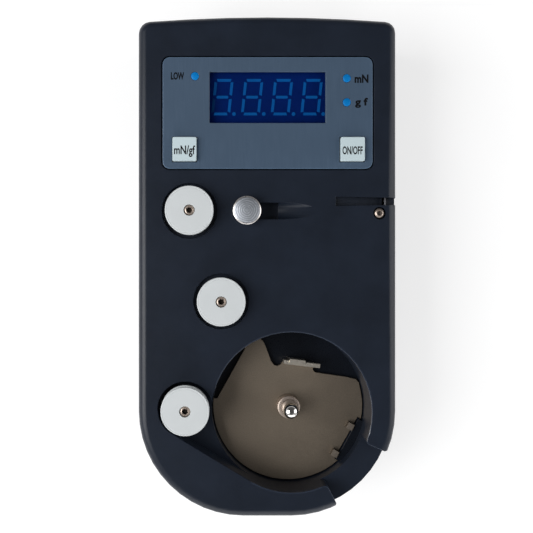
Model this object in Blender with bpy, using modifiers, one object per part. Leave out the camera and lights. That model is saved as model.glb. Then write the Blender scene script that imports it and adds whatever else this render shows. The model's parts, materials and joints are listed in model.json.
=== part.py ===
"""Digital thread tension gauge, modelled as the separate pieces that it is assembled from.

It lies on its back. +Z comes out of the face, +Y points to the display end and +X to the thread cutter.
The origin is at the centre of the back.
"""

import math

import bmesh
import bpy
from mathutils import Matrix, Vector

MM = 0.001

# Clearances and working values
GAP = 0.3 * MM
OVERRUN = 1.0 * MM
MERGE = 0.001 * MM
ROUND_STEPS = 24
SMALL_STEPS = 16
SCREW_STEPS = 10
SMOOTH_ANGLE = math.radians(35)
FLAT_ANGLE = math.radians(0.5)

# Case shells
WALL = 2.0 * MM
REAR_HEIGHT = 13.0 * MM
LEFT_MARGIN = 11.85 * MM
TOP_MARGIN = 10.55 * MM
RIM_WIDTH = 6.4 * MM
CORNER_RADIUS = 3.0 * MM
TOP_ARC_RADIUS = 397.0 * MM
FACE_ROUNDING = 2.2 * MM
ROUNDING_STEPS = 3
CORNER_STEPS = 4
HEX_SIDES = 6
ARCH_STEPS = 6
END_STEPS = 12
LIP_HEIGHT = 1.5 * MM
LIP_THICKNESS = 0.85 * MM

# Bobbin well, its finger gap and the key that turns the adapter plate the right way
WELL_RADIUS = 20.0 * MM
WELL_DEPTH = 11.6 * MM
WELL_WALL = 1.6 * MM
WELL_STEPS = 48
LEDGE_DEPTH = 6.0 * MM
FINGER_START = math.radians(-22.8)
FINGER_END = math.radians(-63.7)
FINGER_CORNER = 1.2 * MM
KEY_ANGLE = math.radians(-29.4)
KEY_DEPTH = 2.4 * MM
KEY_HALF_LENGTH = 6.3 * MM
KEY_RISE = 1.2 * MM

# Thread pulleys and what they turn on
PULLEY_RADIUS = 6.0 * MM
PULLEY_HEIGHT = 4.2 * MM
PULLEY_RISE = 3.0 * MM
PULLEY_FLANGE = 0.9 * MM
PULLEY_GROOVE_DEPTH = 1.5 * MM
PULLEY_CHAMFER = 0.3 * MM
PULLEY_GROOVE_FLAT = 0.5 * MM
PULLEY_STEPS = 24
PULLEY_TO_WELL = 0.6 * MM
PULLEY_MARGIN = 0.95 * MM
RECESS_WALL = 1.6 * MM
PULLEY_ANGLE = math.radians(178.4)
LOWER_TO_MIDDLE = Vector((8.94 * MM, 27.03 * MM))
MIDDLE_TO_UPPER = Vector((-7.89 * MM, 22.63 * MM))
PIVOT_HEAD_RADIUS = 1.45 * MM
PIVOT_HEAD_HEIGHT = 1.2 * MM
PIVOT_HEAD_SINK = 0.2 * MM
PIVOT_RADIUS = 0.9 * MM
PIVOT_HOLD = 5.0 * MM
PIVOT_SOCKET_RADIUS = 0.85 * MM
PIVOT_SOCKET_DEPTH = 0.8 * MM
BUSH_WALL = 0.7 * MM
BOSS_WALL = 1.7 * MM

# Thread post and the ramp groove that leads away from it
UPPER_PULLEY_TO_POST = 14.26 * MM
POST_HEAD_RADIUS = 3.5 * MM
POST_HEAD_HEIGHT = 1.5 * MM
POST_HEAD_CHAMFER = 0.3 * MM
POST_RISE = 2.6 * MM
POST_RADIUS = 1.75 * MM
POST_STUD_RADIUS = 1.0 * MM
POST_NUT_RADIUS = 2.3 * MM
POST_NUT_HEIGHT = 1.6 * MM
GROOVE_WIDTH = 4.25 * MM
GROOVE_DEPTH = 3.2 * MM
GROOVE_FLAT_LENGTH = 8.0 * MM
GROOVE_RAMP_LENGTH = 9.6 * MM

# Thread slot with the cutting blade across it
SLOT_LENGTH = 15.35 * MM
SLOT_ABOVE_POST = 2.4 * MM
SLOT_START_WIDTH = 2.3 * MM
SLOT_END_WIDTH = 1.8 * MM
SLOT_START_DEPTH = 0.9 * MM
SLOT_END_DEPTH = 3.4 * MM
BLADE_FROM_SIDE = 2.8 * MM
BLADE_THICKNESS = 0.4 * MM
BLADE_HEIGHT = 4.6 * MM
BLADE_WIDTH = 3.8 * MM
BLADE_BELOW_FACE = 1.1 * MM
BLADE_SLIT = 1.0 * MM
BLADE_EDGE_SHARE = 0.8
BLADE_FOOT_LENGTH = 3.9 * MM
BLADE_FOOT_WIDTH = 6.6 * MM
CUTTER_SCREW_RADIUS = 1.3 * MM
CUTTER_SCREW_HEIGHT = 1.2 * MM
CUTTER_SCREW_SINK = 0.15 * MM
CUTTER_SCREW_SHANK = 0.7 * MM
CUTTER_SCREW_SOCKET = 0.75 * MM
CUTTER_SCREW_FROM_BLADE = 1.6 * MM
CUTTER_SCREW_BELOW_SLOT = 2.95 * MM

# Display panel, window, lamps and buttons
PANEL_SIDE_MARGIN = 6.17 * MM
PANEL_LENGTH = 27.9 * MM
PANEL_CORNER = 1.75 * MM
PANEL_THICKNESS = 0.8 * MM
PULLEY_TO_PANEL = 24.5 * MM
WINDOW_WIDTH = 29.0 * MM
WINDOW_LENGTH = 12.8 * MM
WINDOW_ABOVE_CENTRE = 3.9 * MM
WINDOW_LAP = 0.8 * MM
WINDOW_THICKNESS = 0.8 * MM
DISPLAY_LAP = 0.6 * MM
DISPLAY_HEIGHT = 7.2 * MM
LAMP_RADIUS = 1.0 * MM
LAMP_FLANGE = 0.35 * MM
LAMP_FLANGE_HEIGHT = 0.8 * MM
LAMP_RISE = 0.2 * MM
LAMP_CROWN_SHARE = 0.7
LAMP_FROM_WINDOW_LEFT = 3.65 * MM
LAMP_FROM_WINDOW_RIGHT = 5.3 * MM
LOW_LAMP_FROM_TOP = 4.75 * MM
NEWTON_LAMP_FROM_TOP = 5.3 * MM
GRAM_LAMP_FROM_TOP = 11.3 * MM
BUTTON_SIZE = 6.0 * MM
BUTTON_CORNER = 0.4 * MM
BUTTON_RISE = 1.0 * MM
BUTTON_FLANGE = 0.8 * MM
BUTTON_FLANGE_HEIGHT = 1.0 * MM
BUTTON_TRAVEL = 0.4 * MM
BUTTON_INSET_LEFT = 5.5 * MM
BUTTON_INSET_RIGHT = 5.1 * MM
BUTTON_FROM_BOTTOM = 4.8 * MM

# Circuit board and its switches
BOARD_THICKNESS = 1.6 * MM
BOARD_CLEARANCE = 1.5 * MM
BOARD_OVERHANG = 0.75 * MM
BOARD_BELOW_PANEL = 2.5 * MM
SWITCH_SIZE = 6.0 * MM
SWITCH_HEIGHT = 3.5 * MM
PLUNGER_RADIUS = 1.7 * MM
PLUNGER_SINK = 2.0 * MM
BOARD_SCREW_RADIUS = 1.0 * MM
BOARD_SCREW_HEAD = 1.9 * MM
BOARD_SCREW_HEAD_HEIGHT = 0.8 * MM
BOARD_SCREW_HOLD = 4.5 * MM
BOARD_SCREW_INSET = 2.3 * MM
BOARD_SCREW_SPREAD = 13.6 * MM
BOARD_BOSS_FROM_CABLE = 0.63 * MM
CHIP_SIZE = 7.0 * MM
CHIP_HEIGHT = 1.2 * MM

# Load cell under the middle pulley
BEAM_WIDTH = 5.0 * MM
BEAM_HEIGHT = 8.5 * MM
BEAM_NOSE = 4.8 * MM
BEAM_BOSS_HEIGHT = 2.5 * MM
BEAM_TAIL_CLEARANCE = 2.2 * MM
BEAM_HOLE_RADIUS = 1.9 * MM
BEAM_HOLE_SPACING = 6.0 * MM
BEAM_HOLE_FROM_PULLEY = 7.2 * MM
BEAM_SLOT_WIDTH = 1.2 * MM
BEAM_SCREW_RADIUS = 1.0 * MM
BEAM_SCREW_HEAD = 1.9 * MM
BEAM_SCREW_HEAD_HEIGHT = 1.3 * MM
BEAM_SCREW_INSET = 3.2 * MM
BEAM_SCREW_SPACING = 6.6 * MM
BEAM_FLEX_SPACE = 0.1 * MM
BEAM_SCREW_HOLD = 3.4 * MM
BEAM_PLAY = 0.6 * MM
BEAM_BOSS_WALL = 1.1 * MM
GAUGE_LENGTH = 5.0 * MM
GAUGE_HEIGHT = 4.0 * MM
GAUGE_THICKNESS = 0.2 * MM
CABLE_WIDTH = 3.2 * MM
CABLE_THICKNESS = 0.3 * MM
CABLE_REACH = 3.5 * MM
CABLE_STEPS = 12
CABLE_FALL_SHARE = 0.7

# Adapter plate and spindle
PLATE_THICKNESS = 1.0 * MM
PLATE_MARGIN = 0.35 * MM
PLATE_RIGHT_END = math.radians(11)
PLATE_LOBE_START = math.radians(115.5)
PLATE_EDGE_SHARES = (
    (0.957, 0.300),
    (0.915, 0.345),
    (0.790, 0.375),
    (0.385, 0.434),
    (0.350, 0.452),
    (0.340, 0.485),
    (0.362, 0.515),
    (-0.072, 0.578),
    (-0.095, 0.540),
    (-0.135, 0.524),
    (-0.180, 0.535),
    (-0.221, 0.587),
    (-0.302, 0.802),
    (-0.330, 0.860),
    (-0.370, 0.888),
)
PLATE_SIDE_SHARES = ((-0.602, 0.799), (-0.571, 0.759), (-0.947, 0.088), (-0.996, 0.092))
TAB_ROOT_SHARES = (-0.068, 0.572)
TAB_LENGTH = 9.5 * MM
TAB_LEAN = math.radians(-6.9)
TAB_ROOT_SHARE = 0.86
TAB_ROOT_HEIGHT_SHARE = 0.35
TAB_TONGUE_START_SHARE = 0.15
TAB_TONGUE_END_SHARE = 0.58
TAB_HEIGHT = 3.0 * MM
NOTCH_TAB_SIZE = 1.7 * MM
NOTCH_TAB_HEIGHT = 1.8 * MM
NOTCH_TAB_OFFSET = 4.3 * MM
SPINDLE_RADIUS = 1.95 * MM
SPINDLE_COLLAR_RADIUS = 2.95 * MM
SPINDLE_COLLAR_HEIGHT = 3.0 * MM
SPINDLE_RISE = 10.4 * MM
SPINDLE_NECK_RADIUS = 1.6 * MM
SPINDLE_STUB_RADIUS = 2.0 * MM
SPINDLE_STUB_LENGTH = 2.2 * MM
MAGNET_RADIUS = 7.0 * MM
MAGNET_HEIGHT = 2.0 * MM

# Battery bay, cells, contacts and door
BATTERY_DIAMETER = 10.5 * MM
BATTERY_LENGTH = 44.5 * MM
BATTERY_EDGE = 0.5 * MM
BATTERY_STEPS = 18
BATTERY_NUB_RADIUS = 1.9 * MM
BATTERY_NUB_HEIGHT = 0.9 * MM
BAY_CLEARANCE = 0.4 * MM
BAY_WALL = 1.3 * MM
SPRING_RADIUS = 3.2 * MM
SPRING_WIRE = 0.5 * MM
SPRING_LENGTH = 3.4 * MM
SPRING_TURNS = 3
SPRING_TURN_STEPS = 8
CONTACT_THICKNESS = 0.4 * MM
CONTACT_HEIGHT = 8.0 * MM
DOOR_THICKNESS = 1.8 * MM
DOOR_MARGIN = 1.6 * MM
DOOR_TONGUE = 1.1 * MM
DOOR_TONGUE_THICKNESS = 0.8 * MM
DOOR_TONGUE_DROP = 0.1 * MM
DOOR_DECK = 1.3 * MM
GRIP_RIBS = 5
GRIP_PITCH = 1.6 * MM
GRIP_DEPTH = 0.5 * MM
GRIP_LENGTH = 14.0 * MM

# Case screws
SCREW_HEAD_RADIUS = 2.4 * MM
SCREW_HEAD_HEIGHT = 1.6 * MM
SCREW_RADIUS = 1.1 * MM
SCREW_HOLD = 7.0 * MM
SCREW_SINK = 3.0 * MM
SCREW_SEAT = 1.6 * MM
SCREW_FROM_SIDE = 5.5 * MM
SCREW_BELOW_PULLEY = 11.0 * MM
SCREW_INSIDE_WELL = 3.2 * MM
SCREW_LEFT_ANGLE = math.radians(-133)
SCREW_RIGHT_ANGLE = math.radians(-35)
SCREW_BOSS_WALL = 1.3 * MM

# Stack of the display end, from the battery door up to the face
BATTERY_RADIUS = BATTERY_DIAMETER / 2
BATTERY_Z = DOOR_THICKNESS + GAP + BATTERY_RADIUS
BAY_CEILING = BATTERY_Z + BATTERY_RADIUS + GAP
BOARD_BASE = BAY_CEILING + BAY_WALL + BOARD_CLEARANCE
BOARD_TOP = BOARD_BASE + BOARD_THICKNESS
DISPLAY_BASE = BOARD_TOP + GAP
DISPLAY_TOP = DISPLAY_BASE + DISPLAY_HEIGHT
WINDOW_BASE = DISPLAY_TOP + GAP
WINDOW_TOP = WINDOW_BASE + WINDOW_THICKNESS
PANEL_RECESS = WINDOW_TOP
PANEL_BASE = PANEL_RECESS + GAP
FACE = PANEL_BASE + PANEL_THICKNESS
CEILING = FACE - WALL

# Plan of the case, from the well up to the display end
END_RADIUS = WELL_RADIUS + RIM_WIDTH
POCKET_RADIUS = PULLEY_RADIUS + PULLEY_MARGIN
PULLEY_SPAN = WELL_RADIUS + PULLEY_RADIUS + PULLEY_TO_WELL
PULLEY_FROM_WELL = Vector((math.cos(PULLEY_ANGLE), math.sin(PULLEY_ANGLE))) * PULLEY_SPAN
BODY_WIDTH = LEFT_MARGIN - PULLEY_FROM_WELL.x + END_RADIUS
LOWER_BLOCK = END_RADIUS + PULLEY_FROM_WELL.y + LOWER_TO_MIDDLE.y + MIDDLE_TO_UPPER.y
BODY_LENGTH = LOWER_BLOCK + PULLEY_TO_PANEL + PANEL_LENGTH / 2 + TOP_MARGIN
SIDE = BODY_WIDTH / 2
PANEL_WIDTH = BODY_WIDTH - 2 * PANEL_SIDE_MARGIN
BODY_END = BODY_LENGTH / 2
WELL = Vector((SIDE - END_RADIUS, END_RADIUS - BODY_END))
LOWER_PULLEY = WELL + PULLEY_FROM_WELL
MIDDLE_PULLEY = LOWER_PULLEY + LOWER_TO_MIDDLE
UPPER_PULLEY = MIDDLE_PULLEY + MIDDLE_TO_UPPER
POST = UPPER_PULLEY + Vector((UPPER_PULLEY_TO_POST, 0))
SLOT = Vector((SIDE - SLOT_LENGTH, POST.y + SLOT_ABOVE_POST))
PANEL = Vector((0, UPPER_PULLEY.y + PULLEY_TO_PANEL))
WINDOW = PANEL + Vector((0, WINDOW_ABOVE_CENTRE))

# Heights of the well, the pulleys, the post and the blade
LEDGE = FACE - LEDGE_DEPTH
WELL_FLOOR = FACE - WELL_DEPTH
PLATE_BASE = WELL_FLOOR + GAP
PLATE_TOP = PLATE_BASE + PLATE_THICKNESS
PLATE_RADIUS = WELL_RADIUS - PLATE_MARGIN
KEY_DISTANCE = WELL_RADIUS - KEY_DEPTH
MAGNET_BASE = WELL_FLOOR - GAP - MAGNET_HEIGHT
PULLEY_TOP = FACE + PULLEY_RISE
PULLEY_BASE = PULLEY_TOP - PULLEY_HEIGHT
RECESS_FLOOR = PULLEY_BASE - GAP
PIVOT_HEAD_BASE = PULLEY_TOP - PIVOT_HEAD_SINK - PIVOT_HEAD_HEIGHT
BUSH_TOP = PIVOT_HEAD_BASE - GAP
BUSH_BORE = PIVOT_RADIUS + GAP
BUSH_RADIUS = BUSH_BORE + BUSH_WALL
BOSS_RADIUS = BUSH_BORE + BOSS_WALL
GROOVE_FLOOR = FACE - GROOVE_DEPTH
BLADE_X = SIDE - BLADE_FROM_SIDE
BLADE_TOP = FACE - BLADE_BELOW_FACE
BLADE_BASE = BLADE_TOP - BLADE_HEIGHT
CUTTER_SCREW = Vector((BLADE_X - CUTTER_SCREW_FROM_BLADE, SLOT.y - CUTTER_SCREW_BELOW_SLOT))

# Board, load cell and battery bay
BOARD_WIDTH = PANEL_WIDTH + 2 * BOARD_OVERHANG
BOARD_FRONT = PANEL.y - PANEL_LENGTH / 2 - BOARD_BELOW_PANEL
BOARD_BACK = PANEL.y + PANEL_LENGTH / 2 + BOARD_OVERHANG
BEAM_TOP = CEILING - BEAM_BOSS_HEIGHT
BEAM_BASE = BEAM_TOP - BEAM_HEIGHT
BEAM_FRONT = MIDDLE_PULLEY.y - BEAM_NOSE
BEAM_BACK = BOARD_FRONT - BEAM_TAIL_CLEARANCE
BATTERY_PITCH = BATTERY_DIAMETER + GAP
BATTERY_STACK = BATTERY_LENGTH + BATTERY_NUB_HEIGHT + SPRING_LENGTH + 2 * CONTACT_THICKNESS
BAY_HALF_LENGTH = BATTERY_STACK / 2 + 2 * GAP
BAY_HALF_WIDTH = BATTERY_DIAMETER + BAY_CLEARANCE
DOOR_HALF_WIDTH = BAY_HALF_LENGTH + DOOR_MARGIN
DOOR_FRONT = PANEL.y - BAY_HALF_WIDTH - DOOR_MARGIN

# Case screws
SCREW_BORE = SCREW_HEAD_RADIUS + GAP
SCREW_HEAD_TOP = SCREW_SINK + SCREW_HEAD_HEIGHT
SCREW_SEAT_BASE = SCREW_HEAD_TOP + GAP
SCREW_SEAT_TOP = SCREW_SEAT_BASE + SCREW_SEAT
SCREW_BOSS_BASE = SCREW_SEAT_TOP + GAP


def polar(radius, angle):
    return Vector((math.cos(angle), math.sin(angle))) * radius


CASE_SCREWS = (
    Vector((-SIDE + SCREW_FROM_SIDE, UPPER_PULLEY.y - SCREW_BELOW_PULLEY)),
    Vector((SIDE - SCREW_FROM_SIDE, UPPER_PULLEY.y - SCREW_BELOW_PULLEY)),
    Vector((END_RADIUS - SIDE, WELL.y)) + polar(END_RADIUS - SCREW_FROM_SIDE, SCREW_LEFT_ANGLE),
    WELL + polar(WELL_RADIUS - SCREW_INSIDE_WELL, SCREW_RIGHT_ANGLE),
)


def collection_named(name):
    collection = bpy.data.collections.new(name)
    bpy.context.scene.collection.children.link(collection)
    return collection


for leftover in list(bpy.data.objects):
    bpy.data.objects.remove(leftover, do_unlink=True)
PARTS = collection_named("digital_tension_gauge")
CUTTERS = collection_named("cutters")
MATERIALS = {}


def material(name, colour, roughness, metallic=0.0):
    made = bpy.data.materials.new(name)
    made.use_nodes = True
    shader = made.node_tree.nodes["Principled BSDF"]
    shader.inputs["Base Color"].default_value = (*colour, 1.0)
    shader.inputs["Roughness"].default_value = roughness
    shader.inputs["Metallic"].default_value = metallic
    made.diffuse_color = (*colour, 1.0)
    MATERIALS[name] = made


def part_object(name, mesh, material_name):
    """A finished piece, in the parts collection."""
    mesh.materials.clear()
    mesh.materials.append(MATERIALS[material_name])
    obj = bpy.data.objects.new(name, mesh)
    PARTS.objects.link(obj)
    return obj


def cutter_object(name, mesh):
    """A shape that only cuts, joins or limits another one."""
    obj = bpy.data.objects.new(name, mesh)
    CUTTERS.objects.link(obj)
    obj.hide_render = True
    obj.display_type = "WIRE"
    return obj


def mesh_of(name, bm):
    bmesh.ops.recalc_face_normals(bm, faces=bm.faces)
    mesh = bpy.data.meshes.new(name)
    bm.to_mesh(mesh)
    bm.free()
    return mesh


def box_mesh(name, low, high):
    low = Vector(low)
    high = Vector(high)
    bm = bmesh.new()
    place = Matrix.Translation((low + high) / 2) @ Matrix.Diagonal((*(high - low), 1))
    bmesh.ops.create_cube(bm, size=1, matrix=place)
    return mesh_of(name, bm)


def rod_mesh(name, centre, radius, low, high, steps=ROUND_STEPS, end_radius=None):
    """An upright round or many-sided bar; end_radius gives a cone."""
    bm = bmesh.new()
    place = Matrix.Translation((centre[0], centre[1], (low + high) / 2))
    top = radius if end_radius is None else end_radius
    bmesh.ops.create_cone(
        bm, cap_ends=True, segments=steps, radius1=radius, radius2=top, depth=high - low, matrix=place
    )
    return mesh_of(name, bm)


def outline_mesh(name, points, low, high):
    """A closed outline in plan, filled and given its thickness between two heights."""
    curve = bpy.data.curves.new(name, "CURVE")
    curve.dimensions = "2D"
    curve.fill_mode = "BOTH"
    curve.extrude = (high - low) / 2
    spline = curve.splines.new("POLY")
    spline.points.add(len(points) - 1)
    for knot, point in zip(spline.points, points):
        knot.co = (point[0], point[1], 0, 1)
    spline.use_cyclic_u = True
    holder = bpy.data.objects.new(name + "_curve", curve)
    bpy.context.scene.collection.objects.link(holder)
    holder.location.z = (low + high) / 2
    bpy.context.view_layer.update()
    evaluated = holder.evaluated_get(bpy.context.evaluated_depsgraph_get())
    flat = bpy.data.meshes.new_from_object(evaluated)
    flat.transform(holder.matrix_world)
    bpy.data.objects.remove(holder, do_unlink=True)
    bm = bmesh.new()
    bm.from_mesh(flat)
    bpy.data.meshes.remove(flat)
    bmesh.ops.remove_doubles(bm, verts=bm.verts, dist=MERGE)
    bmesh.ops.dissolve_limit(bm, angle_limit=FLAT_ANGLE, verts=bm.verts, edges=bm.edges)
    return mesh_of(name, bm)


def turned_object(name, profile, centre, material_name=None, steps=ROUND_STEPS, closed=False):
    """A profile of radius and height pairs, down its outer side, turned about an upright axis."""
    bm = bmesh.new()
    knots = [bm.verts.new((radius, 0, height)) for radius, height in profile]
    for first, second in zip(knots, knots[1:]):
        bm.edges.new((first, second))
    if closed:
        bm.edges.new((knots[-1], knots[0]))
    mesh = bpy.data.meshes.new(name)
    bm.to_mesh(mesh)
    bm.free()
    obj = part_object(name, mesh, material_name) if material_name else cutter_object(name, mesh)
    obj.location = (centre[0], centre[1], 0)
    turn = obj.modifiers.new("Turn", "SCREW")
    turn.steps = steps
    turn.render_steps = steps
    turn.use_merge_vertices = True
    turn.merge_threshold = MERGE
    return obj


def boolean(target, tool, operation):
    step = target.modifiers.new(operation.title() + " " + tool.name, "BOOLEAN")
    step.operation = operation
    step.solver = "EXACT"
    step.object = tool


def cut(target, *tools):
    for tool in tools:
        boolean(target, tool, "DIFFERENCE")


def join(target, *tools):
    for tool in tools:
        boolean(target, tool, "UNION")


def keep_inside(target, tool):
    boolean(target, tool, "INTERSECT")


def box_cutter(name, low, high):
    return cutter_object(name, box_mesh(name, low, high))


def rod_cutter(name, centre, radius, low, high, steps=ROUND_STEPS):
    return cutter_object(name, rod_mesh(name, centre, radius, low, high, steps))


def outline_cutter(name, points, low, high):
    return cutter_object(name, outline_mesh(name, points, low, high))


def round_rim(mesh, height, radius, steps):
    """Round the outer edge of a plain block where it meets the flat face at this height."""
    bm = bmesh.new()
    bm.from_mesh(mesh)
    rim = [
        edge
        for edge in bm.edges
        if all(abs(vert.co.z - height) < MERGE for vert in edge.verts) and len(edge.link_faces) == 2
    ]
    bmesh.ops.bevel(bm, geom=rim, offset=radius, segments=steps, profile=0.5, affect="EDGES")
    bm.to_mesh(mesh)
    bm.free()


def smooth(obj):
    obj.data.shade_smooth()
    obj.data.set_sharp_from_angle(angle=SMOOTH_ANGLE)


def arc(centre, radius, start, end, steps):
    """Points along an arc, both ends included."""
    turn = (end - start) / steps
    return [Vector(centre) + polar(radius, start + turn * step) for step in range(steps + 1)]


def rounded_rectangle(centre, width, length, corner, steps=4):
    points = []
    for quarter, (side, end) in enumerate(((1, 1), (-1, 1), (-1, -1), (1, -1))):
        middle = Vector(centre) + Vector((side * (width / 2 - corner), end * (length / 2 - corner)))
        start = quarter * math.pi / 2
        points += arc(middle, corner, start, start + math.pi / 2, steps)
    return points


def case_outline(inset):
    """The case in plan: straight sides, a gently arched display end and a wide round lower end."""
    corner = max(CORNER_RADIUS - inset, GAP)
    arch = TOP_ARC_RADIUS - inset
    arch_centre = BODY_END - TOP_ARC_RADIUS
    corner_x = SIDE - inset - corner
    corner_y = arch_centre + math.sqrt((arch - corner) ** 2 - corner_x**2)
    lean = math.atan2(corner_x, corner_y - arch_centre)
    quarter = math.pi / 2
    end = END_RADIUS - inset
    right = arc((corner_x, corner_y), corner, 0, quarter - lean, CORNER_STEPS)
    top = arc((0, arch_centre), arch, quarter - lean, quarter + lean, ARCH_STEPS)
    left = arc((-corner_x, corner_y), corner, quarter + lean, math.pi, CORNER_STEPS)
    lower_left = arc((END_RADIUS - SIDE, WELL.y), end, math.pi, 3 * quarter, END_STEPS)
    lower_right = arc(WELL, end, -quarter, 0, END_STEPS)
    return right + top[1:-1] + left + lower_left + lower_right


def bar_mesh(name, start, end, radius, steps=ROUND_STEPS):
    """A round bar between any two points."""
    along = Vector(end) - Vector(start)
    bm = bmesh.new()
    turn = along.to_track_quat("Z", "Y").to_matrix().to_4x4()
    place = Matrix.Translation((Vector(start) + Vector(end)) / 2) @ turn
    bmesh.ops.create_cone(
        bm, cap_ends=True, segments=steps, radius1=radius, radius2=radius, depth=along.length, matrix=place
    )
    return mesh_of(name, bm)


def case_block(name, low, high, inset=0, rounded=None):
    """A solid of the case's outline; the edge at the rounded height is its outer face."""
    mesh = outline_mesh(name, case_outline(inset), low, high)
    if rounded is not None:
        round_rim(mesh, rounded, FACE_ROUNDING, ROUNDING_STEPS)
    return mesh


def finger_gap_outline():
    """The gap in the rim, whose two rim ends are rounded in plan."""
    inner = math.asin(FINGER_CORNER / (WELL_RADIUS + FINGER_CORNER))
    outer = math.asin(FINGER_CORNER / (END_RADIUS - FINGER_CORNER))
    quarter = math.pi / 2

    def rim_end(angle, side):
        near = WELL + polar(WELL_RADIUS + FINGER_CORNER, angle + side * inner)
        far = WELL + polar(END_RADIUS - FINGER_CORNER, angle + side * outer)
        near_start = angle + side * inner + math.pi
        far_start = angle - side * quarter
        points = [WELL + polar(WELL_RADIUS - OVERRUN, angle + side * inner)]
        points += arc(near, FINGER_CORNER, near_start, near_start + side * (quarter - inner), CORNER_STEPS)
        points += arc(far, FINGER_CORNER, far_start, far_start + side * (quarter + outer), CORNER_STEPS)
        return points + [WELL + polar(END_RADIUS + OVERRUN, angle + side * outer)]

    middle = WELL + polar(END_RADIUS + RIM_WIDTH, (FINGER_START + FINGER_END) / 2)
    return rim_end(FINGER_START, 1) + [middle] + rim_end(FINGER_END, -1)[::-1]


def pocket_outline(grow):
    """The lower pulley's pocket: round behind the pulley, then straight along the well's tangent."""
    tangent = PULLEY_ANGLE + math.acos((WELL_RADIUS - POCKET_RADIUS) / PULLEY_SPAN)
    round_part = arc(LOWER_PULLEY, POCKET_RADIUS + grow, PULLEY_ANGLE - math.pi, tangent, ROUND_STEPS)
    return round_part + [WELL + polar(WELL_RADIUS + grow, tangent), WELL]


def ring_sector(inner, outer, start, end, steps=END_STEPS):
    return arc(WELL, outer, start, end, steps) + arc(WELL, inner, start, end, steps)[::-1]


def key_frame(along, across):
    """A point by the key: along the notch's straight edge, and outwards from the well's centre."""
    outwards = polar(across, KEY_ANGLE)
    return WELL + outwards + polar(along, KEY_ANGLE - math.pi / 2)


def key_outline():
    """The key stands in the well's wall, with clearance in the plate's notch."""
    half = KEY_HALF_LENGTH - GAP
    near = KEY_DISTANCE + GAP
    far = WELL_RADIUS + WELL_WALL / 2
    return [key_frame(-half, near), key_frame(half, near), key_frame(half, far), key_frame(-half, far)]


def groove_outline():
    half = GROOVE_WIDTH / 2
    end = POST.x + GROOVE_FLAT_LENGTH
    round_end = arc(POST, half, math.pi / 2, 3 * math.pi / 2, SMALL_STEPS // 2)
    return round_end + [Vector((end, POST.y - half)), Vector((end, POST.y + half))]


def ramp_cutter():
    """A slanted round bar leaves the ramp that runs out to a point in the face."""
    radius = GROOVE_WIDTH / 2
    slope = Vector((GROOVE_RAMP_LENGTH, 0, radius))
    foot = Vector((POST.x + GROOVE_FLAT_LENGTH, POST.y, FACE))
    back = slope.normalized() * OVERRUN
    return cutter_object("groove_ramp", bar_mesh("groove_ramp", foot - back, foot + slope + back, radius))


def slot_cutter():
    """The thread slot narrows and deepens towards the blade at the side of the case."""
    end = SIDE + OVERRUN
    start_half = SLOT_START_WIDTH / 2
    end_half = SLOT_END_WIDTH / 2
    corners = [
        Vector((SLOT.x, SLOT.y + start_half)),
        Vector((SLOT.x, SLOT.y - start_half)),
        Vector((end, SLOT.y - end_half)),
        Vector((end, SLOT.y + end_half)),
    ]
    mesh = outline_mesh("thread_slot", corners, FACE - SLOT_END_DEPTH, FACE + OVERRUN)
    for vert in mesh.vertices:
        if vert.co.z < FACE and vert.co.x < SLOT.x + MERGE:
            vert.co.z = FACE - SLOT_START_DEPTH
    return cutter_object("thread_slot", mesh)


BOARD_BOSS_RADIUS = BOARD_SCREW_RADIUS + GAP + SCREW_BOSS_WALL
CHIP_X = MIDDLE_PULLEY.x + CABLE_WIDTH / 2 + BOARD_BOSS_FROM_CABLE + BOARD_BOSS_RADIUS + BOARD_SCREW_SPREAD / 2
BOARD_SCREWS = tuple(
    Vector((middle + side * x, y))
    for middle, x, y in (
        (0, BOARD_WIDTH / 2 - BOARD_SCREW_INSET, BOARD_BACK - BOARD_SCREW_INSET),
        (CHIP_X, BOARD_SCREW_SPREAD / 2, BOARD_FRONT + BOARD_SCREW_INSET),
    )
    for side in (-1, 1)
)
BEAM_SCREWS = tuple(
    Vector((MIDDLE_PULLEY.x, BEAM_BACK - BEAM_SCREW_INSET - row * BEAM_SCREW_SPACING)) for row in range(2)
)
PANEL_LEFT = PANEL.x - PANEL_WIDTH / 2
PANEL_RIGHT = PANEL.x + PANEL_WIDTH / 2
PANEL_BACK = PANEL.y + PANEL_LENGTH / 2
PANEL_FRONT = PANEL.y - PANEL_LENGTH / 2
LEFT_LAMP_X = WINDOW.x - WINDOW_WIDTH / 2 - LAMP_FROM_WINDOW_LEFT
RIGHT_LAMP_X = WINDOW.x + WINDOW_WIDTH / 2 + LAMP_FROM_WINDOW_RIGHT
LAMPS = {
    "low_lamp": Vector((LEFT_LAMP_X, PANEL_BACK - LOW_LAMP_FROM_TOP)),
    "millinewton_lamp": Vector((RIGHT_LAMP_X, PANEL_BACK - NEWTON_LAMP_FROM_TOP)),
    "gram_force_lamp": Vector((RIGHT_LAMP_X, PANEL_BACK - GRAM_LAMP_FROM_TOP)),
}
BUTTONS = {
    "unit": Vector((PANEL_LEFT + BUTTON_INSET_LEFT, PANEL_FRONT + BUTTON_FROM_BOTTOM)),
    "power": Vector((PANEL_RIGHT - BUTTON_INSET_RIGHT, PANEL_FRONT + BUTTON_FROM_BOTTOM)),
}
LAMP_HOLE = LAMP_RADIUS + GAP
BUTTON_HOLE = BUTTON_SIZE + 2 * GAP
BUTTON_FOOT_BASE = CEILING - GAP - BUTTON_FLANGE_HEIGHT
MERGED = CEILING + OVERRUN / 2


def square(centre, width, length):
    half = Vector((width / 2, length / 2))
    return Vector(centre) - half, Vector(centre) + half


def upright_box(name, centre, width, length, low, high):
    near, far = square(centre, width, length)
    return box_mesh(name, (*near, low), (*far, high))


def fill(name, mesh):
    return cutter_object("front_" + name, mesh)


def boss(name, centre, radius, low, high=MERGED):
    return fill(name, rod_mesh(name, centre, radius, low, high, SMALL_STEPS))


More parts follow.
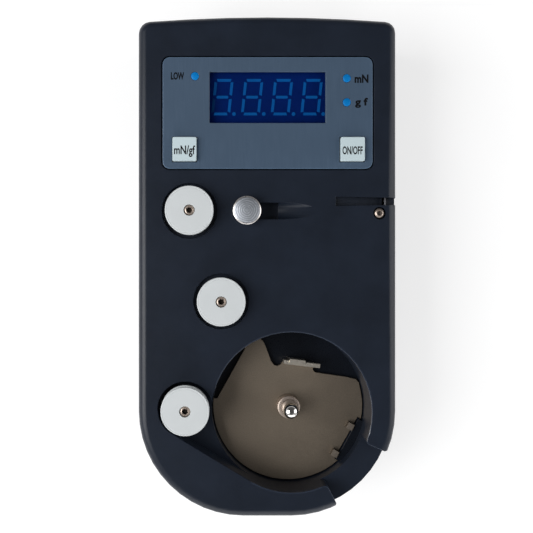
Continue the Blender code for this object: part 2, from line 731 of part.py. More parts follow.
def front_case_fills():
    """What thickens the shell inside: the well's cup, the pockets' walls and the bosses."""
    cup_base = MAGNET_BASE - GAP - WELL_WALL
    magnet_cup = MAGNET_RADIUS + GAP + WELL_WALL
    recess = POCKET_RADIUS + RECESS_WALL
    recess_base = RECESS_FLOOR - RECESS_WALL
    groove_half = GROOVE_WIDTH / 2 + RECESS_WALL
    slot_half = SLOT_START_WIDTH / 2 + RECESS_WALL
    slot_base = BLADE_BASE + BLADE_THICKNESS + GAP
    margin = WALL / END_RADIUS
    sector = ring_sector(
        WELL_RADIUS - OVERRUN, END_RADIUS - WALL / 2, FINGER_END - margin, FINGER_START + margin
    )
    groove_low = (POST.x - groove_half, POST.y - groove_half, GROOVE_FLOOR - RECESS_WALL)
    groove_high = (POST.x + GROOVE_FLAT_LENGTH + GROOVE_RAMP_LENGTH, POST.y + groove_half, MERGED)
    slot_low = (SLOT.x - RECESS_WALL, SLOT.y - slot_half, slot_base)
    slot_high = (SIDE - WALL / 2, SLOT.y + slot_half, MERGED)
    well_cup = rod_mesh("well_cup", WELL, WELL_RADIUS + WELL_WALL, WELL_FLOOR - WALL, MERGED, WELL_STEPS)
    return [
        fill("well_cup", well_cup),
        fill("magnet_cup", rod_mesh("magnet_cup", WELL, magnet_cup, cup_base, WELL_FLOOR - WALL / 2)),
        fill("finger_ledge", outline_mesh("finger_ledge", sector, LEDGE - WALL, MERGED)),
        fill("pocket_wall", outline_mesh("pocket_wall", pocket_outline(RECESS_WALL), LEDGE - WALL, MERGED)),
        boss("upper_recess_wall", UPPER_PULLEY, recess, recess_base),
        boss("middle_recess_wall", MIDDLE_PULLEY, recess, recess_base),
        fill("groove_wall", box_mesh("groove_wall", groove_low, groove_high)),
        fill("slot_wall", box_mesh("slot_wall", slot_low, slot_high)),
        boss("cutter_boss", CUTTER_SCREW, CUTTER_SCREW_RADIUS + WALL, slot_base),
        boss("upper_pulley_boss", UPPER_PULLEY, BOSS_RADIUS, RECESS_FLOOR - PIVOT_HOLD - WALL),
    ] + front_case_bosses()


def front_case_bosses():
    """Posts that the case screws, the board screws and the load cell's screws go into."""
    case_boss = SCREW_RADIUS + GAP + SCREW_BOSS_WALL
    beam_boss = BEAM_SCREW_RADIUS + GAP + BEAM_BOSS_WALL
    made = [
        boss(f"case_boss_{number}", centre, case_boss, SCREW_BOSS_BASE, top)
        for number, (centre, top) in enumerate(
            zip(CASE_SCREWS, (MERGED, MERGED, MERGED, WELL_FLOOR - WALL / 2)), 1
        )
    ]
    made += [
        boss(f"board_boss_{number}", centre, BOARD_BOSS_RADIUS, BOARD_TOP + GAP)
        for number, centre in enumerate(BOARD_SCREWS, 1)
    ]
    made += [
        boss(f"beam_boss_{number}", centre, beam_boss, BEAM_TOP + GAP)
        for number, centre in enumerate(BEAM_SCREWS, 1)
    ]
    return made


def front_case_cuts():
    above = FACE + OVERRUN
    below = REAR_HEIGHT - OVERRUN
    blade_y = BLADE_WIDTH / 2 + GAP
    slit_low = (BLADE_X - BLADE_SLIT / 2, SLOT.y - blade_y, BLADE_BASE - OVERRUN)
    slit_high = (BLADE_X + BLADE_SLIT / 2, SLOT.y + blade_y, BLADE_TOP + GAP)
    panel_hole = rounded_rectangle(PANEL, PANEL_WIDTH + 2 * GAP, PANEL_LENGTH + 2 * GAP, PANEL_CORNER + GAP)
    window_width = WINDOW_WIDTH + 2 * (WINDOW_LAP + GAP)
    window_length = WINDOW_LENGTH + 2 * (WINDOW_LAP + GAP)
    window_hole = upright_box("window_hole", WINDOW, window_width, window_length, CEILING - OVERRUN, FACE)
    head_hole = CUTTER_SCREW_RADIUS + GAP
    head_floor = FACE - CUTTER_SCREW_SINK - CUTTER_SCREW_HEIGHT - GAP
    cuts = [
        rod_cutter("well_bore", WELL, WELL_RADIUS, WELL_FLOOR, above, WELL_STEPS),
        rod_cutter("magnet_pocket", WELL, MAGNET_RADIUS + GAP, MAGNET_BASE - GAP, WELL_FLOOR + OVERRUN),
        outline_cutter("finger_gap", finger_gap_outline(), LEDGE, above),
        outline_cutter("pulley_pocket", pocket_outline(0), LEDGE, above),
        rod_cutter("upper_recess", UPPER_PULLEY, POCKET_RADIUS, RECESS_FLOOR, above),
        rod_cutter("middle_recess", MIDDLE_PULLEY, POCKET_RADIUS, RECESS_FLOOR, above),
        rod_cutter("spacer_hole", MIDDLE_PULLEY, BUSH_RADIUS + BEAM_PLAY, BEAM_TOP, above, SMALL_STEPS),
        outline_cutter("groove", groove_outline(), GROOVE_FLOOR, above),
        ramp_cutter(),
        rod_cutter("post_hole", POST, POST_STUD_RADIUS + GAP, BEAM_BASE, FACE, SMALL_STEPS),
        slot_cutter(),
        box_cutter("blade_slit", slit_low, slit_high),
        rod_cutter("cutter_head_hole", CUTTER_SCREW, head_hole, head_floor, above, SMALL_STEPS),
        rod_cutter("cutter_hole", CUTTER_SCREW, CUTTER_SCREW_SHANK + GAP, BLADE_BASE, FACE, SMALL_STEPS),
        outline_cutter("panel_recess", panel_hole, PANEL_RECESS, above),
        cutter_object("window_hole", window_hole),
    ]
    for name, centre in LAMPS.items():
        cuts.append(rod_cutter(name + "_hole", centre, LAMP_HOLE, CEILING - OVERRUN, FACE, SMALL_STEPS))
    for name, centre in BUTTONS.items():
        hole = upright_box(name + "_hole", centre, BUTTON_HOLE, BUTTON_HOLE, CEILING - OVERRUN, FACE)
        cuts.append(cutter_object(name + "_button_hole", hole))
        room = BUTTON_HOLE + 2 * BUTTON_FLANGE
        foot = upright_box(name + "_foot_room", centre, room, room, BUTTON_FOOT_BASE - GAP, CEILING - GAP / 2)
        cuts.append(cutter_object(name + "_foot_room", foot))
    bores = {
        "case_bore": (CASE_SCREWS, SCREW_RADIUS, SCREW_BOSS_BASE, SCREW_HOLD),
        "board_bore": (BOARD_SCREWS, BOARD_SCREW_RADIUS, BOARD_TOP, BOARD_SCREW_HOLD),
        "beam_bore": (BEAM_SCREWS, BEAM_SCREW_RADIUS, BEAM_TOP, BEAM_SCREW_HOLD),
    }
    for name, (centres, radius, base, hold) in bores.items():
        for number, centre in enumerate(centres, 1):
            top = base + hold + GAP
            cuts.append(
                rod_cutter(f"{name}_{number}", centre, radius + GAP, base - OVERRUN, top, SMALL_STEPS)
            )
    return cuts


def front_case():
    """The moulded black shell that carries everything on the face."""
    base = REAR_HEIGHT + GAP / 2
    case = part_object("front_case", case_block("front_case", base, FACE, 0, FACE), "case_black")
    rebate_inset = WALL - LIP_THICKNESS - GAP
    rebate = case_block("front_rebate", base - OVERRUN, REAR_HEIGHT + LIP_HEIGHT + GAP, rebate_inset)
    cavity = case_block("front_cavity", base - OVERRUN, CEILING, WALL)
    cut(case, cutter_object("front_rebate", rebate), cutter_object("front_cavity", cavity))
    join(case, *front_case_fills())
    cut(case, *front_case_cuts())
    key = outline_mesh("plate_key", key_outline(), WELL_FLOOR - WALL / 2, PLATE_TOP + KEY_RISE)
    boss_base = RECESS_FLOOR - PIVOT_HOLD - WALL
    lower_boss = boss("lower_pulley_boss", LOWER_PULLEY, BOSS_RADIUS, boss_base, RECESS_FLOOR)
    join(case, cutter_object("plate_key", key), lower_boss)
    for name, centre in (("lower", LOWER_PULLEY), ("upper", UPPER_PULLEY)):
        bore_base = RECESS_FLOOR - PIVOT_HOLD - GAP
        cut(case, rod_cutter(name + "_pivot_bore", centre, BUSH_BORE, bore_base, FACE, SMALL_STEPS))
    smooth(case)


def rear_case():
    """The back shell, with the battery bay, the door's opening and the screw wells."""
    top = REAR_HEIGHT - GAP / 2
    deck = DOOR_THICKNESS + GAP + DOOR_DECK
    deck_start = DOOR_FRONT - GAP - WALL
    case = part_object("rear_case", case_block("rear_case", 0, top, 0, 0), "case_black")
    lip_inset = WALL - LIP_THICKNESS
    lip = case_block("rear_lip", top - OVERRUN, top + LIP_HEIGHT, lip_inset)
    join(case, cutter_object("rear_lip", lip))
    high = top + LIP_HEIGHT + OVERRUN
    cavity = cutter_object("rear_cavity", case_block("rear_cavity", WALL, high, WALL))
    cut(cavity, box_cutter("bay_deck", (-BODY_WIDTH, deck_start, 0), (BODY_WIDTH, BODY_LENGTH, deck)))
    cut(case, cavity)
    bay_low = (-BAY_HALF_LENGTH - BAY_WALL, PANEL.y - BAY_HALF_WIDTH - BAY_WALL, deck - OVERRUN)
    bay_high = (BAY_HALF_LENGTH + BAY_WALL, PANEL.y + BAY_HALF_WIDTH + BAY_WALL, BAY_CEILING + BAY_WALL)
    join(case, box_cutter("bay_walls", bay_low, bay_high))
    bore = SCREW_BORE
    for number, centre in enumerate(CASE_SCREWS, 1):
        name = f"screw_well_{number}"
        outer = bore + SCREW_BOSS_WALL
        join(case, cutter_object(name, rod_mesh(name, centre, outer, WALL / 2, SCREW_SEAT_TOP, SMALL_STEPS)))
    shank = SCREW_RADIUS + GAP
    for number, centre in enumerate(CASE_SCREWS, 1):
        cut(
            case,
            rod_cutter(f"screw_head_bore_{number}", centre, bore, -OVERRUN, SCREW_SEAT_BASE, SMALL_STEPS),
            rod_cutter(f"screw_bore_{number}", centre, shank, WALL, SCREW_BOSS_BASE, SMALL_STEPS),
        )
    bay = box_cutter(
        "battery_bay",
        (-BAY_HALF_LENGTH, PANEL.y - BAY_HALF_WIDTH, -OVERRUN),
        (BAY_HALF_LENGTH, PANEL.y + BAY_HALF_WIDTH, BAY_CEILING),
    )
    opening_half = DOOR_HALF_WIDTH + GAP
    opening = box_cutter(
        "door_opening",
        (-opening_half, DOOR_FRONT - GAP, -OVERRUN),
        (opening_half, BODY_END + OVERRUN, DOOR_THICKNESS + GAP),
    )
    groove_half = DOOR_HALF_WIDTH + DOOR_TONGUE + GAP
    tongue_top = DOOR_THICKNESS - DOOR_TONGUE_DROP
    tongue_groove = box_cutter(
        "tongue_groove",
        (-groove_half, DOOR_FRONT, tongue_top - DOOR_TONGUE_THICKNESS - GAP),
        (groove_half, BODY_END + OVERRUN, tongue_top + GAP),
    )
    cut(case, opening, tongue_groove, bay)
    smooth(case)


def battery_door():
    """Slides out over the display end; ribs by its inner edge give the thumb a hold."""
    block = case_block("battery_door", 0, FACE_ROUNDING + OVERRUN, 0, 0)
    door = part_object("battery_door", block, "case_black")
    door_low = (-DOOR_HALF_WIDTH, DOOR_FRONT, -OVERRUN)
    door_high = (DOOR_HALF_WIDTH, BODY_END + OVERRUN, DOOR_THICKNESS)
    keep_inside(door, box_cutter("door_plan", door_low, door_high))
    tongue_half = DOOR_HALF_WIDTH + DOOR_TONGUE
    tongue_top = DOOR_THICKNESS - DOOR_TONGUE_DROP
    tongues = box_cutter(
        "door_tongues",
        (-tongue_half, DOOR_FRONT + GAP, tongue_top - DOOR_TONGUE_THICKNESS),
        (tongue_half, BODY_END - CORNER_RADIUS, tongue_top),
    )
    join(door, tongues)
    for rib in range(GRIP_RIBS):
        y = DOOR_FRONT + GRIP_PITCH * (rib + 2)
        half = GRIP_PITCH / 4
        low = (-GRIP_LENGTH / 2, y - half, -OVERRUN)
        cut(door, box_cutter(f"grip_{rib}", low, (GRIP_LENGTH / 2, y + half, GRIP_DEPTH)))
    smooth(door)


def display_panel():
    """Blue-grey overlay plate in its recess, open over the window, the lamps and the buttons."""
    outline = rounded_rectangle(PANEL, PANEL_WIDTH, PANEL_LENGTH, PANEL_CORNER)
    sheet = outline_mesh("display_panel", outline, PANEL_BASE, FACE)
    panel = part_object("display_panel", sheet, "panel_blue")
    above = FACE + OVERRUN
    opening = upright_box("panel_window", WINDOW, WINDOW_WIDTH, WINDOW_LENGTH, CEILING, above)
    cut(panel, cutter_object("panel_window", opening))
    for name, centre in LAMPS.items():
        cut(panel, rod_cutter("panel_" + name, centre, LAMP_HOLE, CEILING, above, SMALL_STEPS))
    for name, centre in BUTTONS.items():
        hole = upright_box("panel_" + name, centre, BUTTON_HOLE, BUTTON_HOLE, CEILING, above)
        cut(panel, cutter_object("panel_" + name, hole))


def led_display():
    """Four-digit display module, a little larger than the opening, and the dark window over it."""
    width = WINDOW_WIDTH + 2 * DISPLAY_LAP
    length = WINDOW_LENGTH + 2 * DISPLAY_LAP
    block = upright_box("led_display", WINDOW, width, length, DISPLAY_BASE, DISPLAY_TOP)
    part_object("led_display", block, "display_dark")
    pane_width = WINDOW_WIDTH + 2 * WINDOW_LAP
    pane_length = WINDOW_LENGTH + 2 * WINDOW_LAP
    pane = upright_box("display_window", WINDOW, pane_width, pane_length, WINDOW_BASE, WINDOW_TOP)
    part_object("display_window", pane, "window_blue")


def lamps():
    """Round indicator lamps that stand on the board and show through the panel."""
    base = BOARD_TOP + GAP
    top = FACE + LAMP_RISE
    flange = LAMP_RADIUS + LAMP_FLANGE
    for name, centre in LAMPS.items():
        profile = [
            (0, top),
            (LAMP_RADIUS * LAMP_CROWN_SHARE, top - LAMP_RISE / 2),
            (LAMP_RADIUS, FACE - LAMP_RISE),
            (LAMP_RADIUS, base + LAMP_FLANGE_HEIGHT),
            (flange, base + LAMP_FLANGE_HEIGHT),
            (flange, base),
            (0, base),
        ]
        smooth(turned_object(name, profile, centre, "lamp_blue", SMALL_STEPS))


def buttons():
    """Each cap stands on its switch's plunger and is held in by its flange."""
    cap_top = FACE + BUTTON_RISE
    cap_base = BUTTON_FOOT_BASE
    flange = BUTTON_SIZE + 2 * BUTTON_FLANGE
    switch_base = BOARD_TOP + GAP
    switch_top = switch_base + SWITCH_HEIGHT
    plunger_base = switch_top - PLUNGER_SINK
    for name, centre in BUTTONS.items():
        outline = rounded_rectangle(centre, BUTTON_SIZE, BUTTON_SIZE, BUTTON_CORNER)
        cap_mesh = outline_mesh(name + "_button", outline, cap_base + BUTTON_FLANGE_HEIGHT / 2, cap_top)
        round_rim(cap_mesh, cap_top, BUTTON_CORNER / 2, 2)
        cap = part_object(name + "_button", cap_mesh, "button_white")
        foot = upright_box(name + "_foot", centre, flange, flange, cap_base, cap_base + BUTTON_FLANGE_HEIGHT)
        join(cap, cutter_object(name + "_button_foot", foot))
        smooth(cap)
        housing = upright_box(name + "_switch", centre, SWITCH_SIZE, SWITCH_SIZE, switch_base, switch_top)
        switch = part_object(name + "_switch", housing, "switch_black")
        bore_base = plunger_base - BUTTON_TRAVEL - GAP
        bore_radius = PLUNGER_RADIUS + GAP
        bore = rod_cutter(name + "_switch_bore", centre, bore_radius, bore_base, cap_base, SMALL_STEPS)
        cut(switch, bore)
        plunger_name = name + "_plunger"
        plunger = rod_mesh(plunger_name, centre, PLUNGER_RADIUS, plunger_base, cap_base - GAP, SMALL_STEPS)
        smooth(part_object(plunger_name, plunger, "switch_black"))


def main_board():
    """The circuit board behind the display, its screws and its controller."""
    low = (-BOARD_WIDTH / 2, BOARD_FRONT, BOARD_BASE)
    high = (BOARD_WIDTH / 2, BOARD_BACK, BOARD_TOP)
    board = part_object("main_board", box_mesh("main_board", low, high), "board_green")
    head_top = BOARD_BASE - GAP
    head_base = head_top - BOARD_SCREW_HEAD_HEIGHT
    tip = BOARD_TOP + BOARD_SCREW_HOLD
    for number, centre in enumerate(BOARD_SCREWS, 1):
        hole = BOARD_SCREW_RADIUS + GAP
        cut(board, rod_cutter(f"board_hole_{number}", centre, hole, head_base, tip, SMALL_STEPS))
        screw(f"board_screw_{number}", centre, BOARD_SCREW_HEAD, BOARD_SCREW_RADIUS, head_base, head_top, tip)
    chip_centre = Vector((CHIP_X, PANEL_FRONT + CHIP_SIZE / 2))
    chip_base = BOARD_TOP + GAP
    chip_top = chip_base + CHIP_HEIGHT
    chip = upright_box("controller_chip", chip_centre, CHIP_SIZE, CHIP_SIZE, chip_base, chip_top)
    part_object("controller_chip", chip, "switch_black")


def screw(name, centre, head_radius, shank_radius, head_base, head_top, tip):
    """A cross-head screw that goes in from the back."""
    profile = [
        (0, tip),
        (shank_radius, tip - shank_radius / 2),
        (shank_radius, head_top),
        (head_radius, head_top),
        (head_radius, head_base + shank_radius / 4),
        (head_radius - shank_radius / 4, head_base),
        (0, head_base),
    ]
    made = turned_object(name, profile, centre, "screw_steel", SCREW_STEPS)
    below = head_base - OVERRUN
    floor = (head_top + head_base) / 2
    width = head_radius / 4
    along = upright_box(name + "_driver_along", centre, head_radius, width, below, floor)
    across = upright_box(name + "_driver_across", centre, width, head_radius, below, floor)
    cut(made, cutter_object(name + "_driver_along", along), cutter_object(name + "_driver_across", across))
    smooth(made)


def case_screws():
    """The four screws that go in from the back and hold the shells together."""
    tip = SCREW_BOSS_BASE + SCREW_HOLD
    for number, centre in enumerate(CASE_SCREWS, 1):
        screw(
            f"case_screw_{number}", centre, SCREW_HEAD_RADIUS, SCREW_RADIUS, SCREW_SINK, SCREW_HEAD_TOP, tip
        )


def load_cell():
    """The beam that bends sideways as the thread pulls the middle pulley, with its gauges and cable."""
    centre_x = MIDDLE_PULLEY.x
    half = BEAM_WIDTH / 2
    low = (centre_x - half, BEAM_FRONT, BEAM_BASE)
    high = (centre_x + half, BEAM_BACK, BEAM_TOP)
    beam = part_object("load_cell", box_mesh("load_cell", low, high), "aluminium")
    below = BEAM_BASE - OVERRUN
    above = BEAM_TOP + OVERRUN
    first = MIDDLE_PULLEY.y + BEAM_HOLE_FROM_PULLEY
    second = first + BEAM_HOLE_SPACING
    slot_half = BEAM_SLOT_WIDTH / 2
    round_part = math.asin(slot_half / BEAM_HOLE_RADIUS)
    outline = []
    for y, start in ((first, math.pi / 2), (second, -math.pi / 2)):
        end = start + 2 * math.pi - round_part
        outline += arc((centre_x, y), BEAM_HOLE_RADIUS, start + round_part, end, SMALL_STEPS)
    cut(beam, outline_cutter("flexure_holes", outline, below, above))
    bore_base = BEAM_TOP - PIVOT_HOLD - GAP
    cut(beam, rod_cutter("beam_pivot_bore", MIDDLE_PULLEY, BUSH_BORE, bore_base, above, SMALL_STEPS))
    head_top = BEAM_BASE - GAP
    head_base = head_top - BEAM_SCREW_HEAD_HEIGHT
    tip = BEAM_TOP + BEAM_SCREW_HOLD
    for number, centre in enumerate(BEAM_SCREWS, 1):
        hole = BEAM_SCREW_RADIUS + GAP + BEAM_FLEX_SPACE
        cut(beam, rod_cutter(f"beam_hole_{number}", centre, hole, below, above, SMALL_STEPS))
        name = f"load_cell_screw_{number}"
        screw(name, centre, BEAM_SCREW_HEAD, BEAM_SCREW_RADIUS, head_base, head_top, tip)
    gauge_y = (first + second) / 2
    gauge_z = (BEAM_BASE + BEAM_TOP) / 2
    for name, side in (("left", -1), ("right", 1)):
        x = centre_x + side * (half + GAP + GAUGE_THICKNESS / 2)
        middle = Vector((x, gauge_y, gauge_z))
        reach = Vector((GAUGE_THICKNESS, GAUGE_LENGTH, GAUGE_HEIGHT)) / 2
        film = box_mesh(name + "_strain_gauge", middle - reach, middle + reach)
        part_object(name + "_strain_gauge", film, "gauge_amber")
    sensor_cable()


def sensor_cable():
    """A flat ribbon from the fixed end of the load cell down on to the board."""
    start_y = BEAM_BACK + GAP + CABLE_THICKNESS
    board_z = BOARD_TOP + GAP + CABLE_THICKNESS / 2
    rise = BEAM_TOP - CABLE_WIDTH - board_z
    reach = BOARD_FRONT + CABLE_REACH - start_y
    side_x = MIDDLE_PULLEY.x - CABLE_WIDTH / 2
    bm = bmesh.new()
    knots = []
    for step in range(CABLE_STEPS + 1):
        share = step / CABLE_STEPS
        fall = (1 + math.cos(math.pi * min(1, share / CABLE_FALL_SHARE))) / 2
        knots.append(bm.verts.new((side_x, start_y + reach * share, board_z + rise * fall)))
    edges = [bm.edges.new(pair) for pair in zip(knots, knots[1:])]
    grown = bmesh.ops.extrude_edge_only(bm, edges=edges)["geom"]
    moved = [item for item in grown if isinstance(item, bmesh.types.BMVert)]
    bmesh.ops.translate(bm, verts=moved, vec=(CABLE_WIDTH, 0, 0))
    cable = part_object("sensor_cable", mesh_of("sensor_cable", bm), "cable_grey")
    shell = cable.modifiers.new("Thickness", "SOLIDIFY")
    shell.thickness = CABLE_THICKNESS
    shell.offset = 0


def pivot_screw(name, centre, tip):
    """The socket screw that a pulley turns on."""
    head_top = PULLEY_TOP - PIVOT_HEAD_SINK
    chamfer = PIVOT_HEAD_SINK / 2
    profile = [
        (0, head_top),
        (PIVOT_HEAD_RADIUS - chamfer, head_top),
        (PIVOT_HEAD_RADIUS, head_top - chamfer),
        (PIVOT_HEAD_RADIUS, PIVOT_HEAD_BASE),
        (PIVOT_RADIUS, PIVOT_HEAD_BASE),
        (PIVOT_RADIUS, tip),
        (0, tip),
    ]
    made = turned_object(name, profile, centre, "screw_nickel", SMALL_STEPS)
    floor = head_top - PIVOT_SOCKET_DEPTH
    above = head_top + OVERRUN
    cut(made, rod_cutter(name + "_socket", centre, PIVOT_SOCKET_RADIUS, floor, above, HEX_SIDES))
    smooth(made)


def ring_profile(inner, outer, low, high):
    return [(outer, high), (outer, low), (inner, low), (inner, high)]


def pulleys():
    """White flanged rollers, each on a bush and a socket screw."""
    outer = PULLEY_RADIUS
    head_hole = PIVOT_HEAD_RADIUS + GAP
    bore = BUSH_RADIUS + GAP
    web = BUSH_TOP + GAP
    middle = (PULLEY_TOP + PULLEY_BASE) / 2
    profile = [
        (head_hole, PULLEY_TOP),
        (outer - PULLEY_CHAMFER, PULLEY_TOP),
        (outer, PULLEY_TOP - PULLEY_CHAMFER),
        (outer, PULLEY_TOP - PULLEY_FLANGE),
        (outer - PULLEY_GROOVE_DEPTH, middle + PULLEY_GROOVE_FLAT / 2),
        (outer - PULLEY_GROOVE_DEPTH, middle - PULLEY_GROOVE_FLAT / 2),
        (outer, PULLEY_BASE + PULLEY_FLANGE),
        (outer, PULLEY_BASE),
        (bore, PULLEY_BASE),
        (bore, web),
        (head_hole, web),
    ]
    fixed_tip = RECESS_FLOOR - PIVOT_HOLD
    places = {
        "upper": (UPPER_PULLEY, fixed_tip),
        "middle": (MIDDLE_PULLEY, BEAM_TOP - PIVOT_HOLD),
        "lower": (LOWER_PULLEY, fixed_tip),
    }
    bush = ring_profile(BUSH_BORE, BUSH_RADIUS, PULLEY_BASE, BUSH_TOP)
    for name, (centre, tip) in places.items():
        smooth(turned_object(name + "_pulley", profile, centre, "pulley_white", PULLEY_STEPS, closed=True))
        smooth(turned_object(name + "_bush", bush, centre, "bush_brass", SMALL_STEPS, closed=True))
        pivot_screw(name + "_pulley_screw", centre, tip)
    spacer = ring_profile(BUSH_BORE, BUSH_RADIUS, BEAM_TOP + GAP, PULLEY_BASE - GAP)
    smooth(turned_object("middle_spacer", spacer, MIDDLE_PULLEY, "screw_nickel", SMALL_STEPS, closed=True))


def thread_post():
    """Round-headed post that stands at the start of the ramp groove, with its nut inside."""
    top = FACE + POST_RISE
    head_base = top - POST_HEAD_HEIGHT
    seat = GROOVE_FLOOR + GAP
    nut_top = GROOVE_FLOOR - RECESS_WALL - GAP
    nut_base = nut_top - POST_NUT_HEIGHT
    tip = nut_base - GAP
    profile = [
        (0, top),
        (POST_HEAD_RADIUS - POST_HEAD_CHAMFER, top),
        (POST_HEAD_RADIUS, top - POST_HEAD_CHAMFER),
        (POST_HEAD_RADIUS, head_base),
        (POST_RADIUS, head_base),
        (POST_RADIUS, seat),
        (POST_STUD_RADIUS, seat),
        (POST_STUD_RADIUS, tip),
        (0, tip),
    ]
    smooth(turned_object("thread_post", profile, POST, "aluminium", SMALL_STEPS))
    blank = rod_mesh("post_nut", POST, POST_NUT_RADIUS, nut_base, nut_top, HEX_SIDES)
    nut = part_object("post_nut", blank, "screw_steel")
    cut(nut, rod_cutter("post_nut_bore", POST, POST_STUD_RADIUS + GAP, tip, GROOVE_FLOOR, SMALL_STEPS))


def cutter():
    """Blade that stands across the thread slot, on a foot held by a screw from the face."""
    half = BLADE_THICKNESS / 2
    low = Vector((BLADE_X - half, SLOT.y - BLADE_WIDTH / 2, BLADE_BASE))
    high = Vector((BLADE_X + half, SLOT.y + BLADE_WIDTH / 2, BLADE_TOP))
    mesh = box_mesh("cutter_blade", low, high)
    bm = bmesh.new()
    bm.from_mesh(mesh)
    sides = [edge for edge in bm.edges if all(abs(vert.co.z - BLADE_TOP) < MERGE for vert in edge.verts)]
    long_sides = [edge for edge in sides if abs(edge.verts[0].co.x - edge.verts[1].co.x) < MERGE]
    bmesh.ops.bevel(bm, geom=long_sides, offset=half * BLADE_EDGE_SHARE, segments=1, affect="EDGES")
    bm.to_mesh(mesh)
    bm.free()
    blade = part_object("cutter_blade", mesh, "blade_steel")
    foot_low = (BLADE_X + half - BLADE_FOOT_LENGTH, high.y - BLADE_FOOT_WIDTH, BLADE_BASE)
    foot_high = (BLADE_X, high.y - half, BLADE_BASE + BLADE_THICKNESS)
    join(blade, box_cutter("blade_foot", foot_low, foot_high))
    shank = CUTTER_SCREW_SHANK
    cut(blade, rod_cutter("blade_hole", CUTTER_SCREW, shank + GAP, BLADE_BASE - OVERRUN, FACE, SMALL_STEPS))
    head_top = FACE - CUTTER_SCREW_SINK
    head_base = head_top - CUTTER_SCREW_HEIGHT
    tip = BLADE_BASE - GAP
    radius = CUTTER_SCREW_RADIUS
    profile = [
        (0, head_top),
        (radius, head_top),
        (radius, head_base),
        (shank, head_base),
        (shank, tip),
        (0, tip),
    ]
    made = turned_object("cutter_screw", profile, CUTTER_SCREW, "screw_nickel", SMALL_STEPS)
    floor = head_top - CUTTER_SCREW_HEIGHT / 2
    above = FACE + OVERRUN
    cut(made, rod_cutter("cutter_socket", CUTTER_SCREW, CUTTER_SCREW_SOCKET, floor, above, HEX_SIDES))
    smooth(made)


def plate_point(x_share, y_share):
    return WELL + Vector((x_share, y_share)) * PLATE_RADIUS


def plate_outline():
    """Round plate with a cut-off side, a lobe, a tab's root and the notch for the key."""
    quarter = math.pi / 2
    notch_half = KEY_HALF_LENGTH
    notch_turn = math.asin(notch_half / PLATE_RADIUS)
    edge = [plate_point(*share) for share in PLATE_EDGE_SHARES]
    side = [plate_point(*share) for share in PLATE_SIDE_SHARES]
    lobe_end = math.atan2(side[0].y - WELL.y, side[0].x - WELL.x)
    side_end = math.atan2(side[-1].y - WELL.y, side[-1].x - WELL.x)
    right = arc(WELL, PLATE_RADIUS, KEY_ANGLE + notch_turn, PLATE_RIGHT_END, END_STEPS // 3)
    lobe = arc(WELL, PLATE_RADIUS, PLATE_LOBE_START, lobe_end, CORNER_STEPS)
    under = arc(WELL, PLATE_RADIUS, side_end, KEY_ANGLE - notch_turn + 4 * quarter, 2 * END_STEPS)
    notch = [key_frame(notch_half, KEY_DISTANCE), key_frame(-notch_half, KEY_DISTANCE)]
    return right + edge + lobe + side + under + notch


def adapter():
    """Bent sheet plate that the bobbin case sits on, with its spindle and the magnet below."""
    blank = outline_mesh("adapter_plate", plate_outline(), PLATE_BASE, PLATE_TOP)
    plate = part_object("adapter_plate", blank, "nickel")
    low_root = PLATE_TOP - PLATE_THICKNESS / 2
    tab_top = PLATE_TOP + TAB_HEIGHT
    root = plate_point(*TAB_ROOT_SHARES)
    along = polar(TAB_LENGTH, TAB_LEAN)
    outwards = polar(PLATE_THICKNESS, TAB_LEAN + math.pi / 2)
    wide = [root, root + along * TAB_ROOT_SHARE, root + along * TAB_ROOT_SHARE + outwards, root + outwards]
    join(plate, outline_cutter("tab_root", wide, low_root, tab_top - PLATE_THICKNESS / 2))
    over = [root, root + along, root + along + outwards, root + outwards]
    join(plate, outline_cutter("tab", over, PLATE_TOP + TAB_HEIGHT * TAB_ROOT_HEIGHT_SHARE, tab_top))
    start = root + along * TAB_TONGUE_START_SHARE + outwards / 2
    end = root + along * TAB_TONGUE_END_SHARE + outwards / 2
    tongue = [start, end, end + outwards, start + outwards]
    join(plate, outline_cutter("tab_tongue", tongue, low_root, tab_top + PLATE_THICKNESS / 2))
    size = NOTCH_TAB_SIZE / 2
    across = KEY_DISTANCE - size - MERGE
    for name, side in (("lower", 1), ("upper", -1)):
        middle = side * NOTCH_TAB_OFFSET
        corners = [
            key_frame(middle + side_along, across + side_across)
            for side_along, side_across in ((-size, -size), (size, -size), (size, size), (-size, size))
        ]
        join(plate, outline_cutter(name + "_notch_tab", corners, low_root, PLATE_TOP + NOTCH_TAB_HEIGHT))
    neck_hole = SPINDLE_NECK_RADIUS + GAP
    cut(plate, rod_cutter("spindle_hole", WELL, neck_hole, WELL_FLOOR, PLATE_TOP + OVERRUN, SMALL_STEPS))
    spindle()
    magnet_bore = SPINDLE_STUB_RADIUS + 2 * GAP
    magnet = ring_profile(magnet_bore, MAGNET_RADIUS, MAGNET_BASE, MAGNET_BASE + MAGNET_HEIGHT)
    smooth(turned_object("magnet", magnet, WELL, "magnet_grey", SMALL_STEPS, closed=True))


